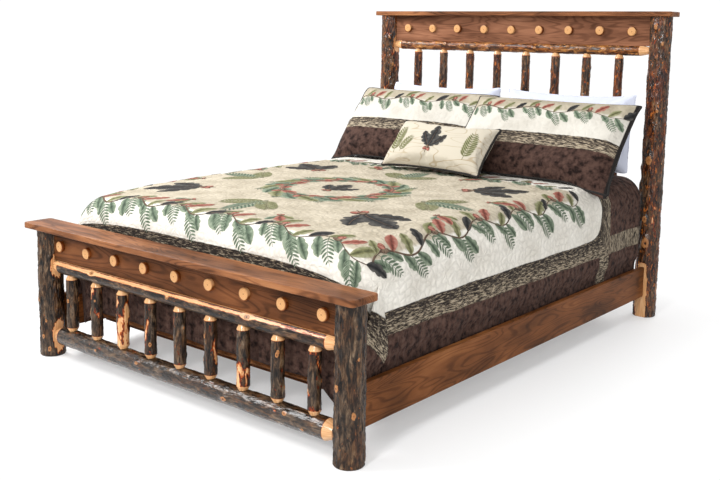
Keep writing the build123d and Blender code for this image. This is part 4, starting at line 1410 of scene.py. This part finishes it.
class Print:
    # gathers flat motifs on one cloth and lays them on its surface as a thin film of ink
    def __init__(self, surface, lift):
        self.surface, self.lift = surface, lift
        self.flat, self.shade, self.faces, self.inks, self.level = [], [], [], [], []
        self.count = 0

    def strip(self, rows, ink, shades, level=0):
        # rows is a list of equally long lists of (x, y) points
        columns = len(rows[0])
        for row, shade in zip(rows, shades):
            self.flat += list(row)
            self.shade += list(shade)
            self.level += [level] * columns
        for i in range(len(rows) - 1):
            for j in range(columns - 1):
                a = self.count + i * columns + j
                self.faces.append((a, a + 1, a + columns + 1, a + columns))
                self.inks.append(ink)
        self.count += len(rows) * columns

    def leaf(self, at, turn, length, width, ink, lobes=0, depth=0.3, bend=0.0, level=0):
        # blade along its rib from at, towards turn, with rounded lobes and a curved rib
        steps = max(8, int(lobes * 6) + 4)
        rows = []
        for i in range(steps + 1):
            t = i / steps
            half = width / 2 * math.sin(math.pi * min(1, t * 0.96 + 0.04)) ** 0.75
            if lobes:
                half *= 1 - 1.5 * depth * (1 - abs(math.sin(math.pi * lobes * t)) ** 0.6) * (1 - 0.4 * t)
            swing = turn + bend * t
            wayX, wayY = math.cos(swing), math.sin(swing)
            cx, cy = polar(length * t, turn + bend * t / 2, at)
            row = []
            for s in (-1, -0.5, 0, 0.5, 1):
                lead = -0.18 * half * abs(s)
                row.append((cx - wayY * half * s - lead * wayX, cy + wayX * half * s - lead * wayY))
            rows.append(row)
        self.strip(rows, ink, [[0.55, 0.42, -0.05, 0.34, 0.50]] * len(rows), level)

    def stem(self, points, width, ink, level=0):
        rows = []
        for i, (x, y) in enumerate(points):
            x0, y0 = points[max(i - 1, 0)]
            x1, y1 = points[min(i + 1, len(points) - 1)]
            size = math.hypot(x1 - x0, y1 - y0) or 1
            nx, ny = -(y1 - y0) / size, (x1 - x0) / size
            half = width / 2 * (1 - 0.6 * i / len(points))
            rows.append([(x - nx * half, y - ny * half), (x + nx * half, y + ny * half)])
        self.strip(rows, ink, [[0.1, 0.35]] * len(rows), level)

    def acorn(self, at, turn, size, level=1):
        # nut with its cup
        c, s = math.cos(turn), math.sin(turn)
        nut, cup = ("russet", 0.0, 1.0, 0.36, 0.55), ("twig", -0.28, 0.18, 0.44, 0.5)
        for ink, start, end, wide, power in (nut, cup):
            rows = []
            for i in range(9):
                t = i / 8
                along = (start + (end - start) * t) * size
                half = wide * size * math.sin(math.pi * (0.06 + 0.90 * t)) ** power
                x, y = at[0] + c * along, at[1] + s * along
                rows.append([(x - s * half * k, y + c * half * k) for k in (-1, -0.4, 0.4, 1)])
            self.strip(rows, ink, [[0.05, 0.55, 0.35, 0.0]] * len(rows), level)
            level += 1

    def fern(self, at, turn, length, width, ink, pairs=11, bend=0.2):
        # curved stem with paired leaflets that shorten to the tip
        points = []
        for i in range(pairs * 2 + 1):
            t = i / (pairs * 2)
            points.append(polar(length * t, turn + bend * t / 2, at))
        self.stem(points, length * 0.018, ink)
        for i in range(pairs):
            t = 0.12 + 0.84 * i / pairs
            spot = polar(length * t, turn + bend * t / 2, at)
            size = width / 2 * math.sin(math.pi * (0.22 + 0.74 * t)) ** 0.9 + width * 0.03
            for side in (-1, 1):
                way = turn + bend * t + side * math.radians(58)
                self.leaf(spot, way, size, size * 0.30, ink, bend=-side * 0.35)

    def cluster(self, at, turn, size, inkNames, lobes=4):
        # three lobed leaves from one twig, each with its rib, and a pair of acorns
        for k, (spread, share, ink) in enumerate(zip((-0.80, 0.85, 0.0), (0.80, 0.80, 1.0), inkNames)):
            way = turn + spread
            length = size * share
            self.leaf(at, way, length, length * 0.50, ink, lobes, 0.34, 0.25 * (-1) ** k, k)
            rib = [polar(length * t, way + 0.125 * t * (-1) ** k, at) for t in np.linspace(0.05, 0.9, 8)]
            self.stem(rib, size * 0.020, "twig", k + 1)
        self.stem([polar(-size * t, turn, at) for t in (0, 0.1, 0.2, 0.3)], size * 0.035, "twig", 3)
        for side in (-1, 1):
            self.acorn(polar(-size * 0.06, turn, at), turn + math.pi - side * 0.75, size * 0.20, 4)

    def garland(self, start, end, wave, swing, size, seed):
        # waving twig with leaves to both sides, acorns in its bends and small ferns
        source = np.random.default_rng(seed)
        length = math.dist(start, end)
        way = ((end[0] - start[0]) / length, (end[1] - start[1]) / length)
        turns = max(2, round(length / wave))

        def vine(t):
            on, off = length * t, swing * math.sin(2 * math.pi * turns * t)
            return start[0] + way[0] * on - way[1] * off, start[1] + way[1] * on + way[0] * off

        self.stem([vine(t) for t in np.linspace(0.01, 0.99, 30 * turns)], size * 0.075, "twig", 1)
        along = math.atan2(way[1], way[0])
        for k in range(turns * 8):
            t = (k + 0.5) / (turns * 8)
            side = 1 if k % 2 else -1
            long = size * float(source.uniform(0.75, 1.15))
            lean = along + side * float(source.uniform(0.65, 1.15))
            ink = ("green", "olive", "green", "russet", "green", "olive", "green", "charcoal")[k % 8]
            curl = float(source.uniform(-0.35, 0.35))
            self.leaf(vine(t), lean, long, long * 0.46, ink, 3 if k % 3 else 0, 0.32, curl, k % 2)
            if k % 8 == 2:
                self.acorn(vine(t), along - side * 1.2, size * 0.36, 2)
                self.acorn(vine(t + 0.006), along - side * 1.9, size * 0.32, 2)
            if k % 4 == 1:
                self.fern(vine(t), along - side * 1.05, size * 1.35, size * 0.66, "green", 7)

    def lay(self, name):
        flat = np.array(self.flat)
        level = np.array(self.level)
        points, normal = self.surface(flat[:, 0], flat[:, 1])
        points = points + normal * (self.lift + 0.00025 * level)[:, None]
        made = placed(name, points, self.faces, inks[self.inks[0]])
        order = sorted(set(self.inks))
        made.data.materials.clear()
        for ink in order:
            made.data.materials.append(inks[ink])
        made.data.polygons.foreach_set("material_index", [order.index(i) for i in self.inks])
        setAttribute(made.data, "flat", "FLOAT_VECTOR", np.column_stack([flat, 0 * flat[:, 0]]))
        setAttribute(made.data, "shade", "FLOAT", self.shade)
        film = bmesh.new()
        film.from_mesh(made.data)
        for face in film.faces:
            face.normal_update()
        out = Vector(normal[len(normal) // 2])
        centre = Vector(points[len(points) // 2])
        nearest = min(film.faces, key=lambda f: (f.calc_center_median() - centre).length)
        if nearest.normal.dot(out) < 0:
            bmesh.ops.reverse_faces(film, faces=film.faces[:])
        film.to_mesh(made.data)
        film.free()
        return made


def cushionSurface(piece, node, kind):
    # finds the cushion's face by looking straight back at it
    facts = cushionSets[kind]
    centre, across, up, out = cushionFrame(node, facts)
    shape = searchable(piece)

    def surface(x, y):
        points, normals = [], []
        for a, b in zip(x, y):
            start = Vector(centre + across * a + up * b + out * 0.2)
            hit = shape.ray_cast(start, Vector(-out))
            if hit[0] is None:
                hit = shape.find_nearest(Vector(centre + across * a + up * b))
            points.append(hit[0])
            normals.append(hit[1] if hit[1].dot(Vector(out)) > 0 else -hit[1])
        return np.array(points), np.array(normals)

    return surface


def printQuilt():
    ink = Print(quiltPoint, 0.0007)
    middleQ = (quilt["flatFoot"] + zones["tan"]["foot"] + quilt["head"] - zones["tan"]["head"]) / 2
    ring, leaves = 0.235, 20
    # wreath: two rows of leaves turned along its ring, with acorns, round a cluster
    for i in range(leaves):
        turn = 2 * math.pi * i / leaves
        at = polar(ring, turn, (0.0, middleQ))
        ink.leaf(at, turn + 1.05, 0.150, 0.070, ("green", "olive")[i % 2], 3, 0.32, 0.5)
        ink.leaf(at, turn + 2.10, 0.120, 0.056, ("green", "russet")[i % 2], 3, 0.30, -0.4, 1)
        if i % 2:
            ink.acorn(at, turn + 0.5, 0.046, 2)
        else:
            ink.fern(at, turn + 0.55, 0.125, 0.060, "green", 7)
    hoop = [polar(ring, turn, (0.0, middleQ)) for turn in np.linspace(0, 2 * math.pi, 80)]
    ink.stem(hoop, 0.009, "twig", 1)
    ink.cluster((0.0, middleQ - 0.045), 1.57, 0.155, ("charcoal",) * 3)
    # dark clusters and ferns round the wreath
    for x, y, turn in ((-0.44, 0.36, 2.5), (0.44, 0.36, 0.65), (-0.44, -0.36, -2.6), (0.44, -0.36, -0.5)):
        ink.cluster((x, middleQ + y), turn, 0.235, ("charcoal",) * 3)
    for x, y, turn in ((0.0, 0.40, 1.57), (0.0, -0.40, -1.57), (0.43, 0.0, 0.0), (-0.43, 0.0, 3.14)):
        for spread in (-0.62, 0.0, 0.62):
            long, tone = (0.19, "olive") if spread else (0.25, "green")
            ink.fern((x, middleQ + y), turn + spread, long, 0.115, tone, 11, spread * 0.6)
    for x, y, turn in ((0.24, 0.58, 0.9), (-0.24, 0.58, 2.3), (0.24, -0.58, -0.9), (-0.24, -0.58, -2.3),
                       (0.64, 0.18, 0.5), (-0.64, 0.18, 2.6), (0.64, -0.18, -0.5), (-0.64, -0.18, -2.6)):
        ink.cluster((x, middleQ + y), turn, 0.095, ("green", "olive", "russet"), 3)
    # garlands along three borders of the tan field
    edgeX = quilt["flatHalf"] - zones["tan"]["side"]
    edgeFoot = quilt["flatFoot"] + zones["tan"]["foot"]
    edgeHead = quilt["head"] - zones["tan"]["head"]
    corners = [(-edgeX, edgeHead), (-edgeX, edgeFoot), (edgeX, edgeFoot), (edgeX, edgeHead)]
    for number in range(3):
        ink.garland(corners[number], corners[number + 1], 0.27, 0.026, 0.100, number)
    ink.garland((-edgeX + 0.1, edgeHead + 0.02), (edgeX - 0.1, edgeHead + 0.02), 0.27, 0.020, 0.080, 5)
    return ink.lay("quilt_print")


def printSham(node):
    ink = Print(cushionSurface(cushions[node], node, "sham"), 0.0006)
    reach = cushionSets["sham"]["width"] / 2 - 0.034
    ink.garland((-reach, shamBands[2]), (reach, shamBands[2]), 0.25, 0.013, 0.072, 7 if "left" in node else 8)
    return ink.lay("print_" + node)


def printThrow():
    ink = Print(cushionSurface(cushions["throw_pillow"], "throw_pillow", "throw"), 0.0006)
    ink.cluster((-0.015, -0.040), 1.45, 0.125, ("charcoal",) * 3)
    ink.fern((-0.200, -0.090), 1.72, 0.160, 0.085, "olive", 10, -0.3)
    ink.fern((-0.165, -0.085), 1.30, 0.105, 0.060, "olive", 8, -0.3)
    ink.fern((0.185, -0.085), 1.40, 0.155, 0.085, "olive", 10, 0.3)
    return ink.lay("print_throw_pillow")


quiltInk = printQuilt()
standFor(quiltInk, "quilt")
for node in ("sham_left", "sham_right"):
    standFor(printSham(node), node)
standFor(printThrow(), "throw_pillow", throwBody)
print("prints are laid on the quilt, the shams and the small cushion")
